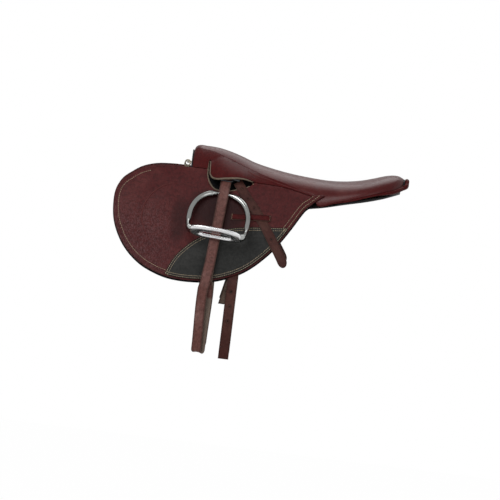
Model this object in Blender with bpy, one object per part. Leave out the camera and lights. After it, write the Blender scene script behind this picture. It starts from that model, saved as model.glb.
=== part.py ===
"""English saddle of the racing and exercise kind, hung on a saddle rack.

+X runs toward the cantle, -Y is the near side, +Z is up. Sizes are in millimetres and are
scaled to metres when a mesh is made. The origin lies in the channel between the panels.
"""
import math

import bmesh
import bpy
import numpy as np
from mathutils import Vector
from mathutils.geometry import delaunay_2d_cdt

MM = 0.001
GAP = 0.3
LAYER_GAP = 0.8

# Leather and strap sizes
SEAT_LEATHER = 2.0
SKIRT_LEATHER = 3.0
FLAP_LEATHER = 4.0
SWEAT_LEATHER = 2.5
WEAR_LEATHER = 1.0
FACING_LEATHER = 3.0
FACING_DEPTH = 18.0
STIRRUP_STRAP_WIDTH = 22.0
STIRRUP_STRAP_THICK = 2.6
TAIL_WIDTH = 20.0
TAIL_THICK = 2.5
KEEPER_THICK = 1.8
KEEPER_WIDTH = 13.0
KEEPER_ARCH_X = 7.0
KEEPER_ARCH_HALF = 23.0
KEEPER_ARCH_EASE = 7.0
GIRTH_STRAP_WIDTH = 22.0
GIRTH_STRAP_THICK = 3.2
GIRTH_TOP = 12.0
GIRTH_CORNER = 6.0
GIRTH_PLAY = 1.0
WEB_THICK = 0.8
WEB_WIDTH = 34.0
WEB_TOP_T = 22.0
WEB_LOW_T = 84.0

# Tree and padding depths below the seat surface
FOAM_DEPTH = 8.4
HEAD_FOAM_DEPTH = 5.7
HEAD_PLATE = 2.5
HEAD_THICK = 13.5
GULLET_PLATE = 2.5
WEBBING = 1.4
TREE_BAR = 7.0
CANTLE_THICK = 8.0
ROLL_DIA = 4.4
ROLL_BACK_DIA = 10.0
ROLL_STAND = 2.6
ROLL_RISE = 9.5
ROLL_START_X = 122.0
LINING = 1.4

# Lengthwise places
POMMEL_X = -147.0
HEAD_START_X = -137.0
HEAD_END_X = -113.0
CANTLE_START_X = 246.0
CANTLE_END_X = 276.0
SEAT_END_X = 298.0
SKIRT_END_X = 112.0

# Side of the saddle: a flat slope that eases in toward the seat
FLARE = math.radians(21.8)
SIDE_HALF = 78.6
EASE_FROM_Z = -40.0
EASE = 0.0022
EASE_ROWS = np.arange(EASE_FROM_Z, 20, 8)

# Stirrup parts
BAR_DIA = 6.5
BAR_X = -72.0
BAR_T = 2.0
BAR_N = 3.5
BAR_LENGTH = 52.0
BAR_PLATE = 2.5
BAR_PLATE_LENGTH = 58.0
BAR_PLATE_WIDTH = 14.0
BAR_BEND = 4.0
BAR_SEAT_N = -15.6
STRAP_LEAN = math.radians(4.0)
STRAP_MID_N = 11.5
STRAP_HALF_GAP = 4.5
LOOP_HALF_GAP = 9.0
LOOP_TWIST = math.radians(49.0)
LOOP_TURN = math.radians(16.0)
LOOP_END_Z = -366.0
IRON_T = 39.5
IRON_HEIGHT = 104.0
IRON_INSIDE = 114.0
IRON_TILT = math.radians(17.0)
IRON_ROD = 10.5
IRON_FOOT = 24.0
IRON_BOW_SHARE = 0.62
IRON_FOOT_SHARE = 0.72
CROWN_BAR = 2.6
CROWN_SLOT = 5.0
CROWN_THICK = 3.6
CROWN_SLOT_LENGTH = 25.0
TREAD_DEPTH = 38.0
TREAD_THICK = 4.0
TREAD_SLOT_DEPTH = 10.4
TREAD_SLOT_SHIFT = -3.3
TREAD_SLOT_LENGTH = 64.0
BUCKLE_WIRE = 2.2
BUCKLE_LENGTH = 12.0
BUCKLE_T = -2.0

# Girth straps
RIVET_X = -34.0
RIVET_T = 68.0
RIVET_DIA = 5.0
RIVET_HEAD = 9.0
RIVET_HEAD_THICK = 0.7
RIVET_PLAY = 0.4
GIRTH_END_Z = -376.0
SHORT_END_Z = -262.0
SHORT_LEAN = math.radians(3.5)
GIRTH_BEND_T = 226.0
STRAP_BEND_T = 236.0
BEND_RADIUS = 45.0
GIRTH_HOLE = 4.5
GIRTH_HOLE_PITCH = 31.0
GIRTH_HOLE_COUNT = 3
GIRTH_FIRST_HOLE_Z = -234.0

# Front dees
DEE_X = -158.5
DEE_INSET = 23.6
DEE_Y = SIDE_HALF - DEE_INSET
DEE_Z = 22.0
DEE_RADIUS = 7.0
DEE_WIRE = 2.5
STAPLE_WIRE = 2.2
STAPLE_HALF = 5.0

# Layers on and under the flap, measured out from its face
TAIL_N = GAP
WEAR_N = GAP
GIRTH_N = -FLAP_LEATHER - 1.2
SHORT_N = GIRTH_N - GIRTH_STRAP_THICK - GIRTH_PLAY
WEB_N = SHORT_N - GIRTH_STRAP_THICK - GAP
SWEAT_N = WEB_N - WEB_THICK - RIVET_HEAD_THICK - 2 * GAP

# Curves of the seat along X: crown height, lower edge and half width of the side, seam height
CROWN = [(-147, 50), (-144.5, 55.5), (-137, 60), (-122, 60.2), (-96, 59), (-70, 54), (-44, 46.5),
         (-18, 37.5), (8, 31.5), (60, 23.2), (110, 19), (137, 18), (162, 19), (187, 22), (212, 27),
         (237, 34.5), (261, 42.5), (277, 45.5), (288, 45), (298, 41)]
BASE_Z = [(-147, -8), (-110, -15), (-16, -16), (60, -19), (112, -22.5), (124, -32.5), (160, -23),
          (190, -14), (220, -3), (251, 7.5), (281, 18), (298, 27)]
REAR_HALF = [(112, 86.5), (126, 90.5), (150, 95), (180, 98), (220, 96), (250, 87), (275, 70),
             (288, 52), (295, 38), (298, 30)]
SEAM_Z = [(-147, 47.5), (-144, 52.5), (-126, 53), (-104, 50), (-82, 43), (-48, 31), (-15, 20),
          (18, 10.5), (50, 3), (79, -5), (112, -13.5)]
SKIRT_EDGE = [(-108, 2), (-104, -6), (-95, -12.5), (-76, -13), (-34, -12), (-17, -14.5)]
BULGE = [(-111, 12), (-104, 20), (-90, 23), (-60, 23), (-35, 19), (-16, 5), (4, 0), (112, 0)]
SLIT_TOP_Z = 31.0
SEAT_PARTS = 14
SEAT_STATIONS = [-144.5, -141, -137, *range(-128, 112, 16), 112, 117, 121, 124, 128, 134,
                 *range(146, 276, 16), 284, 290, 294]
SLIT_FRONT_X = -113.5
TONGUE_X = -111.0
CHEEK_Z = 14.0

# Outlines on the side, as X and Z
FLAP_FRONT = [(-183, 14), (-215, 11.5), (-237, 6.5), (-257, -2), (-276, -14), (-290, -27),
              (-299, -43), (-303, -63), (-302, -88), (-297, -112), (-287, -136), (-272, -160),
              (-252, -181), (-228, -198), (-200, -210), (-172, -217.5), (-142, -220), (-111, -219),
              (-80, -215), (-50, -206), (-20, -192), (4, -175), (26, -154), (46, -131),
              (63, -106), (78, -82), (90, -61), (101, -44), (113, -34)]
HOLLOW = [(-16.5, -17.5), (-36, -20), (-60, -26.5), (-86, -27), (-101, -19), (-109, -6), (-113, 6)]
SWEAT_RIM = 3.0
SWEAT_TOP_Z = -30.0
WEAR_LEFT = [(-174, -206), (-166, -187), (-156, -169), (-142, -153), (-127, -139), (-110, -127)]
WEAR_TOP = [(-80, -113), (-45, -102), (-9, -96), (30, -93), (58, -91)]
WEAR_LOW_Z = -94.0
WEAR_INSET = 9.0
TAIL_LINE = [(-41, -13), (-25, -35), (-3, -62), (20, -93), (46, -132), (61, -155), (70, -172)]
TAIL_SLANT = 0.8
TAIL_RISE_Z = -83.0
TAIL_RISE = 7.0
KEEPER_ENDS = [(-54, -79), (30, -74)]
KNEE_LINE = [(-208, -66), (-238, -74), (-256, -98), (-250, -130), (-228, -160), (-196, -180)]
KNEE_WIDTH = 34.0
ROUND_TIP = 0.6

# Panel sections along X: inner top, outer top, outer bottom and inner bottom, each as Y and Z
PANEL_SECTIONS = [
    (-142, (34, -16), (60, -32), (97, -104), (78, -114)),
    (-100, (29, -2), (58, -32), (97, -103), (76, -112)),
    (-40, (27, 4), (58, -33), (90, -88), (64, -96)),
    (40, (27, 6), (62, -33), (80, -66), (52, -64)),
    (100, (27, 2), (66, -34), (76, -52), (46, -40)),
    (132, (27, 0), (86, -39), (82, -44), (44, -28)),
    (180, (27, 3), (94, -23), (90, -27.5), (42, -15)),
    (230, (27, 9), (89, -9), (85, -14.5), (40, -5)),
    (262, (27, 17), (73, 0), (69, -5), (36, 4)),
    (282, (24, 19), (53, 7), (50, 3), (30, 9.5)),
    (294, (17, 17), (31, 12), (29, 9), (19, 11.5)),
]
PANEL_CROWN = 4.0
PANEL_CHANNEL = 2.0

# Colours, roughness and metallic value
OXBLOOD = ((0.085, 0.018, 0.022, 1), 0.42, 0)
CHARCOAL = ((0.045, 0.045, 0.047, 1), 0.6, 0)
BLACK = ((0.014, 0.014, 0.017, 1), 0.5, 0)
STRAP_BROWN = ((0.06, 0.026, 0.022, 1), 0.5, 0)
STEEL = ((0.62, 0.62, 0.63, 1), 0.18, 1)
BRASS = ((0.6, 0.45, 0.22, 1), 0.3, 1)
WOOD = ((0.45, 0.30, 0.16, 1), 0.6, 0)
FOAM = ((0.75, 0.7, 0.5, 1), 0.9, 0)
LINEN = ((0.6, 0.55, 0.45, 1), 0.9, 0)

LEFT, RIGHT = -1, 1
SIDES = ((LEFT, "left"), (RIGHT, "right"))


def along(points, x):
    """Height of a smooth curve through points, read at x."""
    xs = np.array([p[0] for p in points], float)
    ys = np.array([p[1] for p in points], float)
    steps = np.diff(ys) / np.diff(xs)
    slopes = np.concatenate([steps[:1], (steps[:-1] + steps[1:]) / 2, steps[-1:]])
    x = min(max(x, xs[0]), xs[-1])
    i = min(int(np.searchsorted(xs, x, side="right")) - 1, len(xs) - 2)
    span = xs[i + 1] - xs[i]
    u = (x - xs[i]) / span
    rise = slopes[i] * span * u * (1 - u) ** 2 - slopes[i + 1] * span * u * u * (1 - u)
    return float(ys[i] + (ys[i + 1] - ys[i]) * (3 - 2 * u) * u * u + rise)


def spline(points, parts=3):
    """Points of a smooth open curve through the given points."""
    pts = [np.array(p, float) for p in points]
    pts = [2 * pts[0] - pts[1]] + pts + [2 * pts[-1] - pts[-2]]
    out = []
    for a, b, c, d in zip(pts, pts[1:], pts[2:], pts[3:]):
        for k in range(parts):
            u = k / parts
            out.append(0.5 * (2 * b + (c - a) * u + (2 * a - 5 * b + 4 * c - d) * u * u
                              + (3 * b - a - 3 * c + d) * u ** 3))
    return out + [pts[-2]]


def ease(u):
    u = min(max(u, 0.0), 1.0)
    return u * u * (3 - 2 * u)


def material(name, look):
    mat = bpy.data.materials.new(name)
    mat.use_nodes = True
    shader = mat.node_tree.nodes["Principled BSDF"]
    shader.inputs["Base Color"].default_value = look[0]
    shader.inputs["Roughness"].default_value = look[1]
    shader.inputs["Metallic"].default_value = look[2]
    return mat


def place(name, verts, faces, look, pivot=(0, 0, 0)):
    """One object from points in millimetres, with its origin on the pivot and its faces outward."""
    pivot = np.array(pivot, float)
    mesh = bpy.data.meshes.new(name)
    mesh.from_pydata([tuple((np.array(v) - pivot) * MM) for v in verts], [], faces)
    work = bmesh.new()
    work.from_mesh(mesh)
    bmesh.ops.remove_doubles(work, verts=work.verts, dist=0.00002)
    bmesh.ops.recalc_face_normals(work, faces=work.faces)
    work.to_mesh(mesh)
    work.free()
    mesh.materials.append(material(name, look))
    obj = bpy.data.objects.new(name, mesh)
    obj.location = tuple(pivot * MM)
    bpy.context.collection.objects.link(obj)
    return obj


def loft(rings, closed=False):
    """Closed body from rings of equal length, capped at both ends unless it closes on itself."""
    count = len(rings[0])
    verts = [p for ring in rings for p in ring]
    faces = []
    last = len(rings) if closed else len(rings) - 1
    for i in range(last):
        j = (i + 1) % len(rings)
        for k in range(count):
            m = (k + 1) % count
            faces.append([i * count + k, i * count + m, j * count + m, j * count + k])
    if not closed:
        faces.append(list(range(count)))
        faces.append([(len(rings) - 1) * count + k for k in range(count)])
    return verts, faces


def cut(obj, tool, operation):
    """Apply a Boolean with a tool object, then remove the tool."""
    mod = obj.modifiers.new("cut", "BOOLEAN")
    mod.operation = operation
    mod.object = tool
    bpy.context.view_layer.update()
    graph = bpy.context.evaluated_depsgraph_get()
    mesh = bpy.data.meshes.new_from_object(obj.evaluated_get(graph))
    obj.modifiers.remove(mod)
    keep = obj.data.materials[0]
    obj.data = mesh
    mesh.materials.clear()
    mesh.materials.append(keep)
    for poly in mesh.polygons:
        poly.material_index = 0
    bpy.data.objects.remove(tool)


def slab(outline, mapping, inner, outer, rows=(), holes=(), columns=()):
    """Closed sheet: a flat outline with holes, cut along lines, mapped into space at two depths."""
    loops = [[tuple(p) for p in outline]] + [[tuple(p) for p in hole] for hole in holes]
    coords, edges = [], []
    for loop in loops:
        start = len(coords)
        coords += [Vector(p) for p in loop]
        edges += [(start + k, start + (k + 1) % len(loop)) for k in range(len(loop))]
    us = [p[0] for p in loops[0]]
    for row in rows:
        coords += [Vector((min(us) - 5, row)), Vector((max(us) + 5, row))]
        edges.append((len(coords) - 2, len(coords) - 1))
    vs = [p[1] for p in loops[0]]
    for column in columns:
        coords += [Vector((column, min(vs) - 5)), Vector((column, max(vs) + 5))]
        edges.append((len(coords) - 2, len(coords) - 1))
    flat, _, tris, _, _, _ = delaunay_2d_cdt(coords, edges, [], 0, 1e-5)
    keep = []
    for tri in tris:
        mid = sum((flat[i] for i in tri), Vector((0, 0))) / 3
        if inside(mid, loops[0]) and not any(inside(mid, hole) for hole in loops[1:]):
            keep.append(tuple(tri))
    used = sorted({i for tri in keep for i in tri})
    index = {old: new for new, old in enumerate(used)}
    top = [mapping(flat[i][0], flat[i][1], outer) for i in used]
    under = [mapping(flat[i][0], flat[i][1], inner) for i in used]
    count = len(used)
    faces, rim = [], {}
    for tri in keep:
        a = [index[i] for i in tri]
        faces.append(a)
        faces.append([i + count for i in reversed(a)])
        for p, q in zip(a, a[1:] + a[:1]):
            rim[(p, q)] = True
    faces += [[q, p, p + count, q + count] for p, q in rim if (q, p) not in rim]
    return top + under, faces


def inside(point, loop):
    hit = False
    for (ax, ay), (bx, by) in zip(loop, loop[1:] + loop[:1]):
        if (ay > point[1]) != (by > point[1]):
            if point[0] < ax + (point[1] - ay) * (bx - ax) / (by - ay):
                hit = not hit
    return hit


def circle(center, dia, count=12):
    turns = [2 * math.pi * k / count for k in range(count)]
    return [(center[0] + dia / 2 * math.cos(a), center[1] + dia / 2 * math.sin(a)) for a in turns]


def side_y(z):
    """Half width of the flap's outer face at height z."""
    return SIDE_HALF - math.tan(FLARE) * z - EASE * max(z - EASE_FROM_Z, 0) ** 2


def on_side(side):
    """Mapping from X, Z and distance out from the flap's face into space."""
    def mapping(x, z, n):
        slope = math.atan(math.tan(FLARE) + 2 * EASE * max(z - EASE_FROM_Z, 0))
        return (x, side * (side_y(z) + n * math.cos(slope)), z + n * math.sin(slope))
    return mapping


def on_slope(side, x, t, n):
    """Point at X, distance t down the flat slope and distance n out from it."""
    y = SIDE_HALF + t * math.sin(FLARE) + n * math.cos(FLARE)
    return np.array([x, side * y, n * math.sin(FLARE) - t * math.cos(FLARE)])


def base_half(x):
    return side_y(along(BASE_Z, x)) if x < REAR_HALF[0][0] else along(REAR_HALF, x)


def section(x, angle, depth=0.0, side=1):
    """Point of the seat's cross-section: angle 0 at the crown, a right angle at its lower edge."""
    rear = ease((x + 60) / 220)
    wide, tall = 2 + 0.6 * rear, 1 + rear
    base, half = along(BASE_Z, x), base_half(x)
    height = along(CROWN, x) - base

    def raw(a):
        return np.array([half * math.sin(a) ** (2 / wide), base + height * math.cos(a) ** (2 / tall)])

    lean = np.array([0.0, 1.0])
    if angle > 0.02:
        step = raw(min(angle + 0.01, math.pi / 2 - 1e-6)) - raw(angle - 0.01)
        lean = np.array([-step[1], step[0]]) / np.linalg.norm(step)
    y, z = raw(angle) - depth * lean
    return (x, side * y, z)


def angle_at(x, z):
    rear = ease((x + 60) / 220)
    base = along(BASE_Z, x)
    share = (z - base) / (along(CROWN, x) - base)
    return math.acos(min(max(share, 0.0), 1.0) ** ((1 + rear) / 2))


def seat_edge(x):
    """Angle of the seat cover's lower edge."""
    if x <= SKIRT_END_X:
        return angle_at(x, along(SEAM_Z, x))
    drop = ease((x - SKIRT_END_X) / 20)
    return angle_at(x, along(SEAM_Z, SKIRT_END_X) * (1 - drop) + along(BASE_Z, x) * drop)


def seat_angles(x, trim=0):
    """Angles across the seat, less some at each edge, so that every layer shares its facets."""
    angles = np.linspace(-seat_edge(x), seat_edge(x), SEAT_PARTS + 1)
    return angles[trim:len(angles) - trim]


def shell(xs, angles_at, top, thick):
    """Closed shell under the seat surface: angles and depth of its upper face, and its thickness."""
    rings = []
    for x in xs:
        angles = angles_at(x)
        upper = [section(x, abs(a), top(x), 1 if a >= 0 else -1) for a in angles]
        under = [section(x, abs(a), top(x) + thick(x), 1 if a >= 0 else -1) for a in angles[::-1]]
        rings.append(upper + under)
    return loft(rings)


def rod(path, dia, sides=8, closed=False):
    """Round rod along a path of points."""
    pts = [np.array(p, float) for p in path]
    rings, up = [], None
    for i, p in enumerate(pts):
        before = pts[i - 1] if i or closed else p
        after = pts[(i + 1) % len(pts)] if i + 1 < len(pts) or closed else p
        run = (after - before) / np.linalg.norm(after - before)
        if up is None:
            up = np.cross(run, [0.31, 0.72, 0.62])
        up = up - run * up.dot(run)
        up /= np.linalg.norm(up)
        over = np.cross(run, up)
        size = dia[i] if isinstance(dia, list) else dia
        turns = [2 * math.pi * k / sides for k in range(sides)]
        rings.append([p + size / 2 * (math.cos(a) * up + math.sin(a) * over) for a in turns])
    return loft(rings, closed)


def box(center, axes, size):
    """Box about a center, with sizes along three axes."""
    a, b, c = (np.array(v, float) * s / 2 for v, s in zip(axes, size))
    near = [center - a - b - c, center + a - b - c, center + a + b - c, center - a + b - c]
    return loft([near, [p + 2 * c for p in near]])


def stations(start, end):
    """Shared stations along X between two places, which are added themselves."""
    inner = [x for x in SEAT_STATIONS if start + 1 < x < end - 1]
    return [start] + inner + [end]


def build_seat():
    """Leather cover, foam and webbing. Returns the depth under the webbing."""
    cover = shell(stations(POMMEL_X, SEAT_END_X), seat_angles, lambda x: 0, lambda x: SEAT_LEATHER)
    place("seat_cover", *cover, OXBLOOD)

    def foam_thick(x):
        return HEAD_FOAM_DEPTH + (FOAM_DEPTH - HEAD_FOAM_DEPTH) * ease((x - HEAD_END_X) / 8)

    foam_top = SEAT_LEATHER + LAYER_GAP
    foam = shell(stations(HEAD_START_X, SEAT_END_X - 16), lambda x: seat_angles(x, 2),
                 lambda x: foam_top, foam_thick)
    place("seat_foam", *foam, FOAM)

    web_top = foam_top + FOAM_DEPTH + LAYER_GAP
    webbing = shell(stations(HEAD_END_X + 10, CANTLE_START_X - 2), lambda x: seat_angles(x, 4),
                    lambda x: web_top, lambda x: WEBBING)
    place("seat_webbing", *webbing, LINEN)
    return web_top + WEBBING + LAYER_GAP


def build_tree(under_web):
    """Beech head, side bars and cantle, the steel plates of the head and the lining of the gullet."""
    arch = np.radians(np.linspace(-86, 86, 17))
    plate_top = SEAT_LEATHER + HEAD_FOAM_DEPTH + 2 * LAYER_GAP
    head_top = plate_top + HEAD_PLATE + GAP
    gullet_top = head_top + HEAD_THICK + GAP
    layers = [
        ("head_plate", STEEL, plate_top, HEAD_PLATE),
        ("tree_head", WOOD, head_top, HEAD_THICK),
        ("gullet_plate", STEEL, gullet_top, GULLET_PLATE),
    ]
    for name, look, top, thick in layers:
        body = shell(stations(HEAD_START_X, HEAD_END_X), lambda x: arch, lambda x: top, lambda x: thick)
        place(name, *body, look)

    for side, tag in SIDES:
        rings = []
        for x in stations(HEAD_END_X + GAP, CANTLE_START_X - GAP):
            back = ease((x + 40) / 180)
            turn = np.radians(np.linspace(54 - 18 * back, 86 - 28 * back, 4))
            top = [section(x, a, under_web, side) for a in turn]
            low = [section(x, a, under_web + TREE_BAR, side) for a in turn[::-1]]
            rings.append(top + low)
        place("tree_bar_" + tag, *loft(rings), WOOD)

    cantle_top = under_web - WEBBING - LAYER_GAP
    cantle = shell(stations(CANTLE_START_X, CANTLE_END_X), lambda x: seat_angles(x, 2),
                   lambda x: cantle_top, lambda x: CANTLE_THICK)
    place("tree_cantle", *cantle, WOOD)

    lining = shell(stations(HEAD_END_X + 10, CANTLE_START_X - 2), lambda x: seat_angles(x, 5),
                   lambda x: under_web, lambda x: LINING)
    place("gullet_lining", *lining, BLACK)


def build_facing():
    """Leather face that closes the front of the pommel arch."""
    front = POMMEL_X - GAP
    reach = angle_at(POMMEL_X, CHEEK_Z)
    xs = [front - FACING_LEATHER, front]
    face = shell(xs, lambda x: np.linspace(-reach, reach, 13), lambda x: 1.0, lambda x: FACING_DEPTH)
    place("head_facing", *face, BLACK)


def build_cantle_roll():
    """Bead under the seat's lower edge that thickens round the back."""
    half, sizes = [], []
    for x in stations(ROLL_START_X, SEAT_END_X):
        radius = (ROLL_DIA + (ROLL_BACK_DIA - ROLL_DIA) * ease((x - 240) / 50)) / 2
        half.append((x, base_half(x) - 1.5, along(BASE_Z, x) - radius - 2 * LAYER_GAP))
        sizes.append(2 * radius)
    behind = SEAT_END_X + ROLL_BACK_DIA / 2 + ROLL_STAND
    end_z = along(BASE_Z, SEAT_END_X)
    half += [(behind, 22, end_z), (behind + GAP, 8, end_z + ROLL_RISE)]
    sizes += [ROLL_BACK_DIA, ROLL_BACK_DIA]
    path = [(x, -y, z) for x, y, z in half] + half[::-1]
    place("cantle_roll", *rod(path, sizes + sizes[::-1], 8), OXBLOOD)


def build_panel(side, tag):
    rings = []
    for x in np.linspace(PANEL_SECTIONS[0][0], PANEL_SECTIONS[-1][0], 20):
        corners = []
        for k in range(1, 5):
            corners.append(np.array([along([(s[0], s[k][0]) for s in PANEL_SECTIONS], x),
                                     along([(s[0], s[k][1]) for s in PANEL_SECTIONS], x)]))
        a, b, c, d = corners
        swell = PANEL_CROWN * math.sin(math.pi * min((x + 150) / 40, 1) / 2)
        ring = []
        for p, q, push in ((a, b, 0), (b, c, 1.0), (c, d, swell), (d, a, 0.5)):
            normal = np.array([q[1] - p[1], p[0] - q[0]])
            normal = -normal / max(np.linalg.norm(normal), 1e-6)
            for u in (0.08, 0.3, 0.5, 0.7, 0.92):
                bow = push * (1 - (2 * u - 1) ** 2)
                if push == swell and u == 0.5:
                    bow -= PANEL_CHANNEL
                ring.append(p + (q - p) * u + normal * bow)
        rings.append([(x, side * y, z) for y, z in ring])
    place("panel_" + tag, *loft(rings), BLACK)


def build_skirt(side, tag):
    """Leather from the seat seam to the top of the flap, with a tongue that stands over the bar."""
    lean_y, lean_z = math.cos(FLARE), math.sin(FLARE)

    def lower(x):
        if x <= SLIT_FRONT_X - 0.01:
            return CHEEK_Z + GAP
        if x < TONGUE_X - 0.01:
            return SLIT_TOP_Z
        if x < SKIRT_EDGE[0][0]:
            share = (x - TONGUE_X) / (SKIRT_EDGE[0][0] - TONGUE_X)
            return SLIT_TOP_Z + (SKIRT_EDGE[0][1] - SLIT_TOP_Z) * share
        if x <= SKIRT_EDGE[-1][0]:
            return along(SKIRT_EDGE, x)
        return along(BASE_Z, x) + GAP

    slit = [SLIT_FRONT_X - GAP, SLIT_FRONT_X, TONGUE_X - GAP, TONGUE_X, TONGUE_X + 1.5]
    corners = [x for x, _ in SKIRT_EDGE] + [SKIRT_EDGE[-1][0] + 2]
    rings = []
    for x in sorted(set(stations(POMMEL_X, SKIRT_END_X - GAP) + slit + corners)):
        top = seat_edge(x) + 0.006 + GAP / max(base_half(x), 1)
        end = angle_at(x, lower(x))
        shares = np.linspace(0, 1, 8)
        lift = along(BULGE, x) if x >= TONGUE_X - 0.01 else 0
        rows = []
        for depth in (0, SKIRT_LEATHER):
            row = []
            for s in shares:
                px, y, z = section(x, top + (end - top) * s, depth)
                swell = lift * math.sin(math.pi / 2 * s) ** 0.8
                row.append((px, side * (y + swell * lean_y), z + swell * lean_z))
            rows.append(row)
        rings.append(rows[0] + rows[1][::-1])
    place("skirt_" + tag, *loft(rings), OXBLOOD)


def flap_outline():
    top_front = [(POMMEL_X - 1, CHEEK_Z)]
    rear = [(SKIRT_END_X, along(BASE_Z, SKIRT_END_X) - GAP)]
    upper = [(x, along(BASE_Z, x) - GAP) for x in (90, 60, 30, 5, -12)]
    hollow = spline(HOLLOW, 2) + [(SLIT_FRONT_X, CHEEK_Z)]
    return top_front + spline(FLAP_FRONT, 2) + rear + upper + hollow


def shrink(points, amount):
    """Outline moved inward along its own normals, or outward for a negative amount."""
    pts = [np.array(p, float) for p in points]
    area = sum(p[0] * q[1] - q[0] * p[1] for p, q in zip(pts, pts[1:] + pts[:1]))
    turn = 1 if area > 0 else -1
    out = []
    for before, p, after in zip(pts[-1:] + pts[:-1], pts, pts[1:] + pts[:1]):
        run = after - before
        run /= np.linalg.norm(run)
        out.append(p + turn * amount * np.array([-run[1], run[0]]))
    return out


def build_flap(side, tag):
    place("flap_" + tag, *slab(flap_outline(), on_side(side), -FLAP_LEATHER, 0, EASE_ROWS), OXBLOOD)

    edge = [p for p in spline(FLAP_FRONT, 2) if p[1] < SWEAT_TOP_Z]
    rim = [p + np.array([0, -SWEAT_RIM * ease((-100 - p[1]) / 90)]) for p in edge]
    sweat = slab(rim, on_side(side), SWEAT_N - SWEAT_LEATHER, SWEAT_N, EASE_ROWS)
    place("sweat_flap_" + tag, *sweat, BLACK)

    low = shrink(flap_outline(), WEAR_INSET)
    low = [p for p in low if p[1] < WEAR_LOW_Z and p[0] > WEAR_LEFT[0][0] + 4]
    outline = spline(WEAR_LEFT, 2) + spline(WEAR_TOP, 2) + low[::-1]
    wear = slab(outline, on_side(side), WEAR_N, WEAR_N + WEAR_LEATHER, ())
    place("wear_panel_" + tag, *wear, CHARCOAL)

    center = spline(KNEE_LINE, 2)
    pad = ribbon_outline(len(center) - 1, KNEE_WIDTH / 2)
    depth = GIRTH_N + 1.2 - GAP - (SWEAT_N + GAP)

    def swell(u, v, n):
        x, z = ribbon_point(center, u, v)
        bow = 1 - (2 * u / KNEE_WIDTH) ** 2
        return on_side(side)(x, z, SWEAT_N + GAP + n * depth * (0.45 + 0.55 * max(bow, 0) ** 0.5))

    knee = slab(pad, swell, 0, 1, range(1, len(center) - 1))
    place("knee_roll_" + tag, *knee, BLACK)


def ribbon_outline(length, half):
    """Outline of a strap: across and along, with a rounded far end."""
    start = length - ROUND_TIP
    right = [(half, v) for v in np.linspace(0, start, 4)]
    tip = [(half * math.cos(a), start + ROUND_TIP * math.sin(a)) for a in np.linspace(0.4, 2.74, 6)]
    left = [(-u, v) for u, v in reversed(right)]
    return right + tip + left


def ribbon_point(center, u, v):
    """Point across and along a center line given as a list of points, one unit apart in v."""
    i = min(max(int(v), 0), len(center) - 2)
    p = center[i] + (center[i + 1] - center[i]) * (v - i)
    before, after = center[max(i - 1, 0)], center[min(i + 2, len(center) - 1)]
    run = (after - before) / np.linalg.norm(after - before)
    return p + u * np.array([-run[1], run[0]])


def build_tail(side, tag):
    center = spline(TAIL_LINE, 5)
    wear_top = WEAR_N + WEAR_LEATHER + GAP

    def lay(u, v, n):
        x, z = ribbon_point(center, u, v)
        rise = TAIL_N + (wear_top - TAIL_N) * ease((TAIL_RISE_Z - z) / TAIL_RISE)
        return on_side(side)(x, z, rise + n)

    outline = ribbon_outline(len(center) - 1, TAIL_WIDTH / 2)
    tail = slab(outline, lay, 0, TAIL_THICK, range(1, len(center) - 1))
    place("leather_tail_" + tag, *tail, STRAP_BROWN)

    (x0, z0), (x1, z1) = KEEPER_ENDS
    clear = TAIL_N + TAIL_THICK + GAP

    def arch(x, v, n):
        z = z0 + (z1 - z0) * (x - x0) / (x1 - x0) + v
        past = KEEPER_ARCH_HALF - abs(x - KEEPER_ARCH_X + TAIL_SLANT * v)
        lift = GAP + (clear - GAP) * ease(past / KEEPER_ARCH_EASE)
        return on_side(side)(x, z, lift + n)

    half = KEEPER_WIDTH / 2
    outline = [(x0, -half), (x1, -half), (x1, half), (x0, half)]
    columns = np.linspace(x0, x1, 22)[1:-1]
    keeper = slab(outline, arch, 0, KEEPER_THICK, (-half / 3, half / 3), (), columns)
    place("keeper_" + tag, *keeper, OXBLOOD)


def hanging_line(bend_t, end_z, n):
    """Points down the slope at distance n, bending to plumb at bend_t and ending at a height."""
    pts = [(t, n) for t in (0.0, bend_t)]
    steps = 5
    for k in range(1, steps + 1):
        a = FLARE * k / steps
        pts.append((bend_t + BEND_RADIUS * math.sin(a), n - BEND_RADIUS * (1 - math.cos(a))))
    t, m = pts[-1]
    rest = (m * math.sin(FLARE) - t * math.cos(FLARE)) - end_z
    pts.append((t + rest * math.cos(FLARE), m - rest * math.sin(FLARE)))
    return pts


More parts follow.
